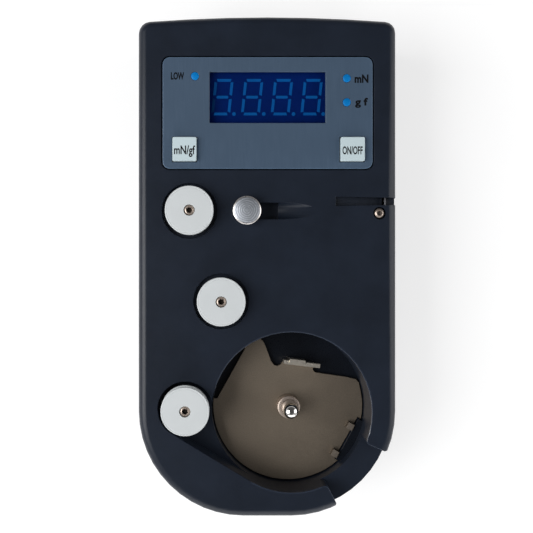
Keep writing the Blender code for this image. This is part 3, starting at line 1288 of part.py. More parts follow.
def spindle():
    """Domed pin with a collar; it is riveted through the plate."""
    tip = PLATE_TOP + SPINDLE_RISE
    collar_base = PLATE_TOP + GAP
    collar_top = collar_base + SPINDLE_COLLAR_HEIGHT
    chamfer = (SPINDLE_COLLAR_RADIUS - SPINDLE_RADIUS) / 4
    dome = arc((0, tip - SPINDLE_RADIUS), SPINDLE_RADIUS, math.pi / 2, 0, CORNER_STEPS)
    profile = dome + [
        (SPINDLE_RADIUS, collar_top),
        (SPINDLE_COLLAR_RADIUS - chamfer, collar_top),
        (SPINDLE_COLLAR_RADIUS, collar_top - chamfer),
        (SPINDLE_COLLAR_RADIUS, collar_base),
        (SPINDLE_NECK_RADIUS, collar_base),
        (SPINDLE_NECK_RADIUS, PLATE_BASE - GAP),
        (SPINDLE_STUB_RADIUS, PLATE_BASE - GAP),
        (SPINDLE_STUB_RADIUS, PLATE_BASE - GAP - SPINDLE_STUB_LENGTH),
        (0, PLATE_BASE - GAP - SPINDLE_STUB_LENGTH),
    ]
    smooth(turned_object("spindle", profile, WELL, "spindle_steel", SMALL_STEPS))


def lie_along_x(obj, start, y, direction):
    """Turn an upright piece so that its base is at start and its axis runs along +X or -X."""
    obj.location = (start, y, BATTERY_Z)
    obj.rotation_euler = (0, direction * math.pi / 2, 0)


def batteries():
    """Two cells side by side, head to tail, with their contacts and springs."""
    radius = BATTERY_RADIUS
    edge = BATTERY_EDGE
    nub_top = BATTERY_LENGTH + BATTERY_NUB_HEIGHT
    profile = [
        (0, nub_top),
        (BATTERY_NUB_RADIUS, nub_top),
        (BATTERY_NUB_RADIUS, BATTERY_LENGTH),
        (radius - edge, BATTERY_LENGTH),
        (radius, BATTERY_LENGTH - edge),
        (radius, edge),
        (radius - edge, 0),
        (0, 0),
    ]
    plate_far = BAY_HALF_LENGTH - GAP
    plate_near = plate_far - CONTACT_THICKNESS
    spring_end = plate_near - GAP
    half = CONTACT_HEIGHT / 2
    low_z = BATTERY_Z - half
    high_z = BATTERY_Z + half
    rows = {1: PANEL.y + BATTERY_PITCH / 2, -1: PANEL.y - BATTERY_PITCH / 2}
    for number, (direction, y) in enumerate(rows.items(), 1):
        base = spring_end - GAP - BATTERY_NUB_HEIGHT - BATTERY_LENGTH
        battery = turned_object(f"battery_{number}", profile, (0, 0), "battery_sleeve", BATTERY_STEPS)
        lie_along_x(battery, direction * base, y, direction)
        smooth(battery)
    contacts = {
        "bridge_contact": (-1, rows[-1] - half, rows[1] + half),
        "positive_contact": (1, rows[1] - half, rows[1] + half),
        "negative_contact": (1, rows[-1] - half, rows[-1] + half),
    }
    for name, (side, near, far) in contacts.items():
        ends = sorted((side * plate_near, side * plate_far))
        mesh = box_mesh(name, (ends[0], near, low_z), (ends[1], far, high_z))
        part_object(name, mesh, "contact_nickel")
    contact_spring("bridge_spring", -spring_end, rows[1], 1)
    contact_spring("negative_spring", spring_end, rows[-1], -1)


def contact_spring(name, start, y, direction):
    """A coil between a contact plate and the flat end of a cell."""
    curve = bpy.data.curves.new(name, "CURVE")
    curve.dimensions = "3D"
    curve.bevel_depth = SPRING_WIRE / 2
    curve.bevel_resolution = 1
    curve.use_fill_caps = True
    steps = SPRING_TURNS * SPRING_TURN_STEPS
    spline = curve.splines.new("POLY")
    spline.points.add(steps)
    length = SPRING_LENGTH - SPRING_WIRE - 2 * GAP
    for step, knot in enumerate(spline.points):
        angle = step * 2 * math.pi / SPRING_TURN_STEPS
        x = direction * (SPRING_WIRE / 2 + length * step / steps)
        ring = polar(SPRING_RADIUS, angle)
        knot.co = (start + x, y + ring.x, BATTERY_Z + ring.y, 1)
    curve.materials.append(MATERIALS["contact_nickel"])
    spring = bpy.data.objects.new(name, curve)
    PARTS.objects.link(spring)


def make_materials():
    material("case_black", (0.012, 0.013, 0.016), 0.42)
    material("panel_blue", (0.065, 0.105, 0.17), 0.35)
    material("window_blue", (0.0, 0.008, 0.06), 0.08)
    material("display_dark", (0.02, 0.022, 0.03), 0.5)
    material("lamp_blue", (0.0, 0.2, 0.6), 0.2)
    material("button_white", (0.62, 0.66, 0.68), 0.4)
    material("pulley_white", (0.78, 0.79, 0.77), 0.35)
    material("switch_black", (0.015, 0.015, 0.016), 0.5)
    material("board_green", (0.01, 0.13, 0.05), 0.45)
    material("aluminium", (0.55, 0.56, 0.58), 0.35, 1.0)
    material("nickel", (0.32, 0.28, 0.24), 0.32, 1.0)
    material("spindle_steel", (0.6, 0.58, 0.55), 0.12, 1.0)
    material("blade_steel", (0.5, 0.5, 0.52), 0.2, 1.0)
    material("screw_nickel", (0.5, 0.42, 0.36), 0.28, 1.0)
    material("screw_steel", (0.35, 0.35, 0.37), 0.35, 1.0)
    material("bush_brass", (0.6, 0.45, 0.2), 0.3, 1.0)
    material("magnet_grey", (0.3, 0.3, 0.31), 0.3, 1.0)
    material("contact_nickel", (0.62, 0.6, 0.56), 0.25, 1.0)
    material("battery_sleeve", (0.05, 0.12, 0.3), 0.35)
    material("gauge_amber", (0.5, 0.25, 0.04), 0.4)
    material("cable_grey", (0.3, 0.3, 0.32), 0.5)


make_materials()
front_case()
rear_case()
battery_door()
display_panel()
led_display()
lamps()
buttons()
main_board()
case_screws()
load_cell()
pulleys()
thread_post()
cutter()
adapter()
batteries()
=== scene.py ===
"""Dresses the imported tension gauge: smooth shells, turned parts, the display, its words and finishes."""

import json
import math

import bpy
from bpy.props import FloatProperty, FloatVectorProperty, IntProperty, PointerProperty, StringProperty
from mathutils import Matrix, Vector

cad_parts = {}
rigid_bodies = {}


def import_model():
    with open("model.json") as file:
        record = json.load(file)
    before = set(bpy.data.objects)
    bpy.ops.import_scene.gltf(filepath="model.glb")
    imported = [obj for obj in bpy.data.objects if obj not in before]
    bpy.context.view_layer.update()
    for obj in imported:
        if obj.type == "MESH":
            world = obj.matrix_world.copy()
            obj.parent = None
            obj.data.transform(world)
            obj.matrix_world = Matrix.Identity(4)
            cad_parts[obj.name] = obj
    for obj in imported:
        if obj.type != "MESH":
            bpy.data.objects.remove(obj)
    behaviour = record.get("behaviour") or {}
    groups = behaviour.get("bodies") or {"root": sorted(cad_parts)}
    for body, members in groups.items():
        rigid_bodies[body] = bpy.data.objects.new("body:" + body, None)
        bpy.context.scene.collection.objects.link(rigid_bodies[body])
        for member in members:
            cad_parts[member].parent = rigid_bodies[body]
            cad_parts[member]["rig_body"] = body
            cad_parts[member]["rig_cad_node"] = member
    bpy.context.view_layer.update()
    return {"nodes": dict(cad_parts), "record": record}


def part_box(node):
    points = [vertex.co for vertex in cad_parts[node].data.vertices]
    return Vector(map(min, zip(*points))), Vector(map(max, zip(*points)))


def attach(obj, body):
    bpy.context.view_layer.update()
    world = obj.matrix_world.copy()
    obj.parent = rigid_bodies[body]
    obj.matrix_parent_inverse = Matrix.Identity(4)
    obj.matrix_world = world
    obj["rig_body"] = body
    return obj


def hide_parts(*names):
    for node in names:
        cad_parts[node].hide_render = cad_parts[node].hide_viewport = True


bl_info = {
    "name": "Tension Gauge Dressing",
    "version": (1, 0, 0),
    "blender": (4, 5, 0),
    "location": "3D View > Sidebar > Gauge",
    "description": "Models and paints the visible pieces of a digital tension gauge around its packed solids",
    "category": "Add Mesh",
}

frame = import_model()

MM = 0.001
PANEL_LOW, PANEL_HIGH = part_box("display_panel")
WINDOW_LOW, WINDOW_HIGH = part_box("display_window")
WINDOW_MIDDLE = (WINDOW_LOW + WINDOW_HIGH) / 2
LAMPS = ("low_lamp", "millinewton_lamp", "gram_force_lamp")
BUTTONS = ("unit_button", "power_button")

# Two corners, two faces' slopes or two heights that differ by less than this count as the same
SAME_PLACE = 0.002 * MM
SAME_PLANE = math.radians(0.4)
NEAR = 0.02 * MM
# Edges that turn more than this can be rounded, or stay sharp when shaded
SHARP_EDGE = math.radians(30)
SHARP_SHADE = math.radians(35)
ROUNDING_STEPS = 2
ROUND_STEPS = 96
SMALL_STEPS = 48
SOCKET_SIDES = 6

WELL_RADIUS = 20 * MM
# Where the finger gap ends, in degrees round the well's middle, and how far round its corners reach
GAP_ENDS = (-22.8, -63.7)
GAP_END_REACH = 5
# The way from the spindle to the adapter's key and notch
KEY_ANGLE = math.radians(-29.4)
PLATE_THICKNESS = 1.0 * MM

# What the colour settings have in common
COLOUR = dict(subtype="COLOR", size=3, min=0, max=1)


class GaugeSettings(bpy.types.PropertyGroup):
    """Sizes and colours of the dressed gauge."""

    case_colour: FloatVectorProperty(
        name="Case", description="Colour of the moulded shells", default=(0.0112, 0.0158, 0.0262), **COLOUR
    )
    panel_colour: FloatVectorProperty(
        name="Panel", description="Colour of the display panel", default=(0.06, 0.096, 0.148), **COLOUR
    )
    window_colour: FloatVectorProperty(
        name="Window", description="Colour of the display's filter", default=(0.0004, 0.0105, 0.085), **COLOUR
    )
    segment_colour: FloatVectorProperty(
        name="Segments", description="Colour of the display's bars", default=(0.0015, 0.115, 0.39), **COLOUR
    )
    lamp_colour: FloatVectorProperty(
        name="Lamps", description="Colour of the indicator lamps", default=(0.0, 0.17, 0.49), **COLOUR
    )
    button_colour: FloatVectorProperty(
        name="Buttons", description="Colour of the two button caps", default=(0.555, 0.665, 0.70), **COLOUR
    )
    pulley_colour: FloatVectorProperty(
        name="Pulleys", description="Colour of the thread pulleys", default=(0.62, 0.65, 0.66), **COLOUR
    )
    plate_colour: FloatVectorProperty(
        name="Plate", description="Colour of the adapter plate", default=(0.306, 0.257, 0.202), **COLOUR
    )
    rim_rounding: FloatProperty(
        name="Rim rounding", description="Rounding of the recesses' moulded rims", unit="LENGTH",
        default=0.24 * MM, min=0.02 * MM, max=0.3 * MM,
    )
    well_rounding: FloatProperty(
        name="Well rounding", description="Rounding of the well's rim and its finger gap", unit="LENGTH",
        default=0.36 * MM, min=0.1 * MM, max=0.8 * MM,
    )
    sheet_rounding: FloatProperty(
        name="Sheet rounding", description="Rounding of the plate's punched edges", unit="LENGTH",
        default=0.09 * MM, min=0.02 * MM, max=0.2 * MM,
    )
    segment_width: FloatProperty(
        name="Segment width", description="Width of a bar of the display", unit="LENGTH",
        default=0.8 * MM, min=0.3 * MM, max=1.5 * MM,
    )
    digit_height: FloatProperty(
        name="Digit height", description="Between the middles of the top and bottom bars", unit="LENGTH",
        default=8.5 * MM, min=5 * MM, max=10 * MM,
    )
    digit_width: FloatProperty(
        name="Digit width", description="Between the middles of the side bars", unit="LENGTH",
        default=4.1 * MM, min=2 * MM, max=6 * MM,
    )
    digit_pitch: FloatProperty(
        name="Digit pitch", description="From one digit to the next", unit="LENGTH",
        default=7.52 * MM, min=5 * MM, max=9 * MM,
    )
    digit_slant: FloatProperty(
        name="Digit slant", description="Lean of the digits", subtype="ANGLE",
        default=math.radians(6), min=0, max=math.radians(15),
    )
    digit_count: IntProperty(name="Digits", description="Number of digits", default=4, min=1, max=6)
    print_thickness: FloatProperty(
        name="Print", description="Thickness of the printed labels", unit="LENGTH",
        default=0.02 * MM, min=0.005 * MM, max=0.1 * MM,
    )
    unit_label: StringProperty(name="Unit button", description="Label on the left button", default="mN/gf")
    power_label: StringProperty(
        name="Power button", description="Label on the right button", default="ON/OFF"
    )


def settings():
    return bpy.context.scene.gauge


def choose(*objects):
    """Only these objects are selected, and the first is active."""
    bpy.ops.object.select_all(action="DESELECT")
    for obj in objects:
        obj.select_set(True)
    bpy.context.view_layer.objects.active = objects[0]


def settle(obj):
    """Puts the object's place, turn and scale into its mesh."""
    choose(obj)
    bpy.ops.object.transform_apply(location=True, rotation=True, scale=True)


def edit(obj):
    choose(obj)
    bpy.ops.object.mode_set(mode="EDIT")
    bpy.ops.mesh.select_mode(type="VERT")
    bpy.ops.mesh.select_all(action="SELECT")


def leave_edit():
    bpy.ops.object.mode_set(mode="OBJECT")


def leave_outwards():
    """Turns every face outwards and ends the editing."""
    bpy.ops.mesh.select_all(action="SELECT")
    bpy.ops.mesh.normals_make_consistent(inside=False)
    leave_edit()


def apply_modifier(obj, kind, **values):
    choose(obj)
    modifier = obj.modifiers.new(kind.title(), kind)
    for key, value in values.items():
        setattr(modifier, key, value)
    bpy.ops.object.modifier_apply(modifier=modifier.name)


def shade(obj):
    """Smooth faces with sharp corners, and flat faces that stay flat beside a rounding."""
    choose(obj)
    bpy.ops.object.shade_smooth_by_angle(angle=SHARP_SHADE, keep_sharp_edges=False)
    apply_modifier(obj, "WEIGHTED_NORMAL", keep_sharp=True, weight=100)


def finish_piece(obj, name, body, material, nodes):
    """Names, paints and places a piece on its body; one that stands for solids is shaded, and hides them."""
    if nodes:
        shade(obj)
    obj.name = name
    obj.data.name = name
    obj.data.materials.clear()
    obj.data.materials.append(material)
    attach(obj, body)
    if nodes:
        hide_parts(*nodes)


def merged_copy(node):
    """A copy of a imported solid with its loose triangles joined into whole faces."""
    source = frame["nodes"][node]
    choose(source)
    bpy.ops.object.duplicate(linked=False)
    copy = bpy.context.active_object
    copy.parent = None
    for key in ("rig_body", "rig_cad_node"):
        if key in copy:
            del copy[key]
    edit(copy)
    bpy.ops.mesh.remove_doubles(threshold=SAME_PLACE)
    bpy.ops.mesh.customdata_custom_splitnormals_clear()
    bpy.ops.mesh.dissolve_limited(angle_limit=SAME_PLANE, use_dissolve_boundaries=False)
    leave_edit()
    return copy


def dressed_copy(node, name, body, material):
    """A smooth-shaded copy that stands for its solid as it is."""
    finish_piece(merged_copy(node), name, body, material, [node])


def bevel_where(obj, width_at):
    """Rounds each sharp edge by the width that its two ends give, which may be nothing."""
    mesh = obj.data
    faces_at = {}
    for face in mesh.polygons:
        for key in face.edge_keys:
            faces_at.setdefault(key, []).append(face.normal.copy())
    widths = []
    for edge in mesh.edges:
        normals = faces_at.get(tuple(sorted(edge.vertices)), [])
        sharp = len(normals) == 2 and normals[0].angle(normals[1], 0) > SHARP_EDGE
        ends = [mesh.vertices[index].co for index in edge.vertices]
        widths.append(width_at(ends[0], ends[1]) if sharp else 0)
    widest = max(widths)
    weights = mesh.attributes.new("bevel_weight_edge", "FLOAT", "EDGE")
    for row, width in zip(weights.data, widths):
        row.value = width / widest
    apply_modifier(
        obj, "BEVEL", width=widest, segments=ROUNDING_STEPS, profile=0.5, limit_method="WEIGHT",
        use_clamp_overlap=False, loop_slide=False,
    )
    mesh.attributes.remove(mesh.attributes["bevel_weight_edge"])


def pick_vertices(obj, test):
    """Opens the piece for editing with only the vertices that pass the test selected."""
    edit(obj)
    bpy.ops.mesh.select_all(action="DESELECT")
    leave_edit()
    for vertex in obj.data.vertices:
        vertex.select = test(vertex.co)
    bpy.ops.object.mode_set(mode="EDIT")


def weld_where(obj, test, reach):
    """Joins the vertices that pass the test and lie closer together than reach."""
    pick_vertices(obj, test)
    bpy.ops.mesh.remove_doubles(threshold=reach)
    leave_edit()


def shift_where(obj, test, offset):
    """Moves the vertices that pass the test."""
    pick_vertices(obj, test)
    bpy.ops.transform.translate(value=offset)
    leave_edit()


def shrink_opening(obj, centre, reach, share):
    """Draws the sides of an opening in towards its middle; reach is half its width, with a little over."""

    def inside(place):
        return max(abs(place.x - centre.x), abs(place.y - centre.y)) < reach

    pick_vertices(obj, inside)
    bpy.ops.transform.resize(value=(share, share, 1), center_override=centre)
    leave_edit()


def paint_where(obj, material, test):
    """Gives the faces whose middle and normal pass the test a finish of their own."""
    obj.data.materials.append(material)
    slot = len(obj.data.materials) - 1
    for face in obj.data.polygons:
        if test(face.center, face.normal):
            face.material_index = slot


def turned(rings, centre, steps=ROUND_STEPS, closed=False):
    """A circle drawn through a list of radii and heights, as on a lathe."""
    radius, height = rings[0]
    bpy.ops.mesh.primitive_circle_add(vertices=steps, radius=radius, location=(centre[0], centre[1], height))
    obj = bpy.context.active_object
    edit(obj)
    for (radius, height), (next_radius, next_height) in zip(rings, rings[1:]):
        bpy.ops.mesh.extrude_region_move(TRANSFORM_OT_translate={"value": (0, 0, next_height - height)})
        share = next_radius / radius
        if share != 1:
            bpy.ops.transform.resize(
                value=(share, share, 1), center_override=(centre[0], centre[1], next_height)
            )
    bpy.ops.mesh.select_all(action="DESELECT")
    bpy.ops.mesh.select_non_manifold()
    if closed:
        bpy.ops.mesh.bridge_edge_loops()
    else:
        bpy.ops.mesh.fill_holes(sides=0)
    leave_outwards()
    settle(obj)
    return obj


def punched(obj, centre, radius, floor, top, turn):
    """Cuts a six-sided socket down into a piece."""
    depth = top - floor
    bpy.ops.mesh.primitive_cylinder_add(
        vertices=SOCKET_SIDES, radius=radius, depth=depth,
        location=(centre[0], centre[1], (floor + top) / 2), rotation=(0, 0, turn),
    )
    tool = bpy.context.active_object
    settle(tool)
    apply_modifier(obj, "BOOLEAN", operation="DIFFERENCE", object=tool, solver="EXACT")
    bpy.data.objects.remove(tool)


def joined(objects):
    choose(*objects)
    bpy.ops.object.join()
    return bpy.context.active_object


def dome(radius, depth, crown, steps, tip):
    """The rings of a rounded end, from its small flat tip down to its full radius."""
    angles = [math.pi / 2 * step / steps for step in range(steps + 1)]
    return [(max(tip, radius * math.sin(angle)), crown - depth * (1 - math.cos(angle))) for angle in angles]


def middle_of(node):
    low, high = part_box(node)
    return (low + high) / 2


def apart(place, centre):
    """How far a point lies from a centre, seen from above."""
    return math.hypot(place.x - centre.x, place.y - centre.y)


def new_material(name):
    material = bpy.data.materials.new(name)
    material.use_nodes = True
    tree = material.node_tree
    return material, tree, tree.nodes["Principled BSDF"]


def add_node(tree, kind, **inputs):
    made = tree.nodes.new(kind)
    for key, value in inputs.items():
        made.inputs[key].default_value = value
    return made


def pattern_place(tree, scale, centre=None):
    """Object coordinates, stretched, and moved first to a centre where one is given."""
    place = tree.nodes.new("ShaderNodeTexCoord")
    mapping = tree.nodes.new("ShaderNodeMapping")
    if centre:
        mapping.vector_type = "TEXTURE"
        mapping.inputs["Location"].default_value = centre
        mapping.inputs["Scale"].default_value = [1 / value for value in scale]
    else:
        mapping.inputs["Scale"].default_value = scale
    tree.links.new(place.outputs["Object"], mapping.inputs["Vector"])
    return mapping.outputs["Vector"]


def noise(tree, scale, detail=4.0, stretch=(1, 1, 1)):
    """A noise field; scale is in features for each metre."""
    made = add_node(tree, "ShaderNodeTexNoise", Scale=1.0, Detail=detail, Roughness=0.6)
    tree.links.new(pattern_place(tree, [scale * share for share in stretch]), made.inputs["Vector"])
    return made.outputs["Fac"]


def feed(tree, value, socket):
    """Gives a socket another node's output, a number or a colour."""
    if isinstance(value, bpy.types.NodeSocket):
        tree.links.new(value, socket)
    else:
        socket.default_value = (*value, 1) if isinstance(value, tuple) else value


def blend_colours(tree, factor, first, second):
    """Goes from the first colour to the second; either may be another node's output."""
    mix = tree.nodes.new("ShaderNodeMix")
    mix.data_type = "RGBA"
    # Sockets 6 and 7 and output 2 are the ones for colours
    for value, number in ((factor, 0), (first, 6), (second, 7)):
        feed(tree, value, mix.inputs[number])
    return mix.outputs[2]


def remap(tree, value, low, high, from_low=0.3, from_high=0.7):
    """Stretches a value to the range from low to high; a noise field mostly keeps between 0.3 and 0.7."""
    ends = {"From Min": from_low, "From Max": from_high, "To Min": low, "To Max": high}
    made = add_node(tree, "ShaderNodeMapRange", **ends)
    tree.links.new(value, made.inputs["Value"])
    return made.outputs["Result"]


def relief(tree, shader, *layers):
    """Stacks bump layers, each a height field and its depth in metres."""
    normal = None
    for height, depth in layers:
        bump = add_node(tree, "ShaderNodeBump", Strength=1.0, Distance=depth)
        tree.links.new(height, bump.inputs["Height"])
        if normal:
            tree.links.new(normal, bump.inputs["Normal"])
        normal = bump.outputs["Normal"]
    tree.links.new(normal, shader.inputs["Normal"])


def shaded(colour, share):
    return tuple(min(1.0, value * share) for value in colour)


def coat(tree, shader, colour, field, low, high):
    """Gives a finish its colour, and a roughness from low to high that follows a field."""
    tree.links.new(colour, shader.inputs["Base Color"])
    tree.links.new(remap(tree, field, low, high), shader.inputs["Roughness"])


def grained(
    name, colour, roughness, grain=2600.0, depth=0.004 * MM, tone=0.12, metallic=0.0, blotch=90.0, gloss=0.5
):
    """A finish with a fine grain in its relief and a slow drift in its tone and gloss."""
    if name in bpy.data.materials:
        return bpy.data.materials[name]
    material, tree, shader = new_material(name)
    shader.inputs["Metallic"].default_value = metallic
    shader.inputs["Specular IOR Level"].default_value = gloss
    slow = noise(tree, blotch)
    fine = noise(tree, grain, detail=2.0)
    drift = blend_colours(tree, remap(tree, slow, 0, 1), shaded(colour, 1 - tone), shaded(colour, 1 + tone))
    coat(tree, shader, drift, fine, roughness * 0.85, roughness * 1.15)
    relief(tree, shader, (fine, depth))
    return material


# Plain finishes: a colour, or a colour setting and a share of it, then roughness, grain in features for each
# metre, its depth in millimetres, drift of tone and gloss. A metal's row has no gloss
PLASTICS = {
    "case_plastic": (("case_colour", 1), 0.34, 3200, 0.004, 0.16, 0.3),
    # The well's floor, painted darker than the case as shade in the deep recess
    "floor_plastic": (("case_colour", 0.45), 0.3, 2800, 0.002, 0.16, 0.3),
    # The well's rim, which bobbin cases and fingertips have polished, and painted paler than the case as a
    # highlight
    "worn_edge": (("case_colour", 1.8), 0.24, 2200, 0.001, 0.12, 0.9),
    # The bevel round the panel's outline, painted paler than its print as a highlight
    "panel_edge": (("panel_colour", 1.7), 0.3, 3000, 0.001, 0.1, 0.5),
    "lamp_lens": (("lamp_colour", 1), 0.42, 1500, 0.001, 0.1, 0.2),
    "button_plastic": (("button_colour", 1), 0.38, 2400, 0.001, 0.02, 0.5),
    "printed_ink": ((0.004, 0.004, 0.005), 0.6, 6000, 0.001, 0.1, 0.1),
    "display_face": ((0.0006, 0.019, 0.17), 0.5, 2600, 0.004, 0.1, 0.1),
    "switch_plastic": ((0.015, 0.015, 0.016), 0.5, 2600, 0.004, 0.12, 0.5),
    "board_mask": ((0.01, 0.13, 0.05), 0.4, 1500, 0.004, 0.12, 0.5),
    "cell_sleeve": ((0.05, 0.12, 0.3), 0.35, 2600, 0.004, 0.05, 0.5),
    "gauge_film": ((0.5, 0.25, 0.04), 0.4, 2600, 0.004, 0.12, 0.5),
    "ribbon": ((0.3, 0.3, 0.32), 0.5, 2600, 0.004, 0.12, 0.5),
}
METALS = {
    "screw_nickel": ((0.92, 0.84, 0.75), 0.2, 3000, 0.0006, 0.1),
    # The inside of a socket painted dark as shade, and a less dark painted shade for the blade screw's socket
    "socket_dark": ((0.045, 0.036, 0.03), 0.45, 3000, 0.0015, 0.15),
    "socket_worn": ((0.24, 0.21, 0.19), 0.4, 3000, 0.0015, 0.15),
    # The plate's bent tab, a little smoother than the sheet and painted much paler as a highlight
    "bright_nickel": ((0.9, 0.82, 0.71), 0.36, 2200, 0.0004, 0.14),
    # The narrow chamfer round the post's head, smoother than its face and painted paler as a highlight
    "chamfer_bright": ((0.7, 0.67, 0.65), 0.3, 2200, 0.0003, 0.05),
    "polished_steel": ((0.72, 0.70, 0.67), 0.09, 2200, 0.0004, 0.05),
    "ground_steel": ((0.12, 0.12, 0.13), 0.3, 2600, 0.001, 0.08),
    "plated_steel": ((0.4, 0.4, 0.42), 0.32, 2600, 0.001, 0.1),
    "milled_aluminium": ((0.55, 0.56, 0.58), 0.35, 2600, 0.004, 0.12),
    "turned_brass": ((0.6, 0.45, 0.2), 0.3, 2600, 0.004, 0.12),
    "magnet_plating": ((0.4, 0.4, 0.41), 0.3, 2600, 0.0006, 0.08),
    "contact_plating": ((0.62, 0.6, 0.56), 0.25, 2600, 0.004, 0.12),
}


def plain(name):
    """A finish from the two tables."""
    if name in METALS:
        colour, roughness, grain, depth, tone = METALS[name]
        return grained(name, colour, roughness, grain, depth * MM, tone, metallic=1.0)
    colour, roughness, grain, depth, tone, gloss = PLASTICS[name]
    if isinstance(colour[0], str):
        setting, share = colour
        colour = shaded(getattr(settings(), setting), share)
    return grained(name, colour, roughness, grain, depth * MM, tone, gloss=gloss)


def panel_film():
    """Satin printed film with faint upright streaks."""
    material, tree, shader = new_material("panel_film")
    colour = settings().panel_colour
    streak = noise(tree, 1.0, detail=5.0, stretch=(2400, 140, 140))
    slow = noise(tree, 120.0, detail=2.0)
    tint = blend_colours(tree, remap(tree, slow, 0, 1), shaded(colour, 0.94), shaded(colour, 1.06))
    tone = blend_colours(tree, remap(tree, streak, 0, 1), shaded(colour, 0.92), tint)
    coat(tree, shader, tone, streak, 0.3, 0.4)
    relief(tree, shader, (streak, 0.002 * MM))
    return material


def window_filter():
    """Dark blue see-through filter with little shine."""
    material, tree, shader = new_material("window_filter")
    colour = settings().window_colour
    slow = noise(tree, 260.0, detail=2.0)
    tone = blend_colours(tree, remap(tree, slow, 0, 1), shaded(colour, 0.85), shaded(colour, 1.15))
    coat(tree, shader, tone, slow, 0.1, 0.16)
    shader.inputs["Specular IOR Level"].default_value = 0.1
    shader.inputs["Alpha"].default_value = 0.25
    return material


def acetal():
    colour = settings().pulley_colour
    return grained("acetal", colour, 0.36, grain=1800.0, depth=0.0015 * MM, tone=0.02, blotch=220.0)


def nickel_sheet():
    """Rolled and plated sheet: warm grey with fine scuffs and a slow cloudiness."""
    material, tree, shader = new_material("nickel_sheet")
    colour = settings().plate_colour
    shader.inputs["Metallic"].default_value = 1.0
    cloud = noise(tree, 110.0, detail=2.0)
    rolled = noise(tree, 1.0, detail=3.0, stretch=(5200, 1300, 1300))
    drawn = noise(tree, 1.0, detail=3.0, stretch=(1300, 5200, 1300))
    fleck = noise(tree, 3600.0, detail=2.0)
    tint = blend_colours(tree, remap(tree, cloud, 0, 1), shaded(colour, 0.96), shaded(colour, 1.04))
    tone = blend_colours(tree, remap(tree, fleck, 0, 1), shaded(colour, 0.8), tint)
    coat(tree, shader, tone, drawn, 0.46, 0.58)
    relief(tree, shader, (rolled, 0.003 * MM), (drawn, 0.003 * MM))
    return material


def nickel_painted_light(share):
    """The plate's nickel with painted light: paler than the sheet by share as a highlight, or darker as
    shade.
    """
    red, green, blue = shaded(settings().plate_colour, share)
    name = "sheared_nickel_pale" if share > 1 else "sheared_nickel_dark"
    colour = (red, green * 1.02, blue * 1.08)
    return grained(name, colour, 0.5, depth=0.001 * MM, tone=0.1, metallic=1.0)


def faced_aluminium(centre):
    """Turned end face: fine rings about the post's middle."""
    material, tree, shader = new_material("faced_aluminium")
    shader.inputs["Metallic"].default_value = 1.0
    rings = add_node(tree, "ShaderNodeTexWave", Scale=1.0, Distortion=3.0, Detail=2.0)
    rings.wave_type = "RINGS"
    rings.rings_direction = "Z"
    tree.links.new(pattern_place(tree, (600, 600, 600), (*centre.xy, 0)), rings.inputs["Vector"])
    speck = noise(tree, 3500.0, detail=3.0)
    base = blend_colours(tree, rings.outputs["Fac"], (0.32, 0.35, 0.4), (0.78, 0.81, 0.86))
    tone = blend_colours(tree, remap(tree, speck, 0, 1), (0.5, 0.53, 0.58), base)
    coat(tree, shader, tone, speck, 0.38, 0.56)
    relief(tree, shader, (rings.outputs["Fac"], 0.012 * MM), (speck, 0.006 * MM))
    return material


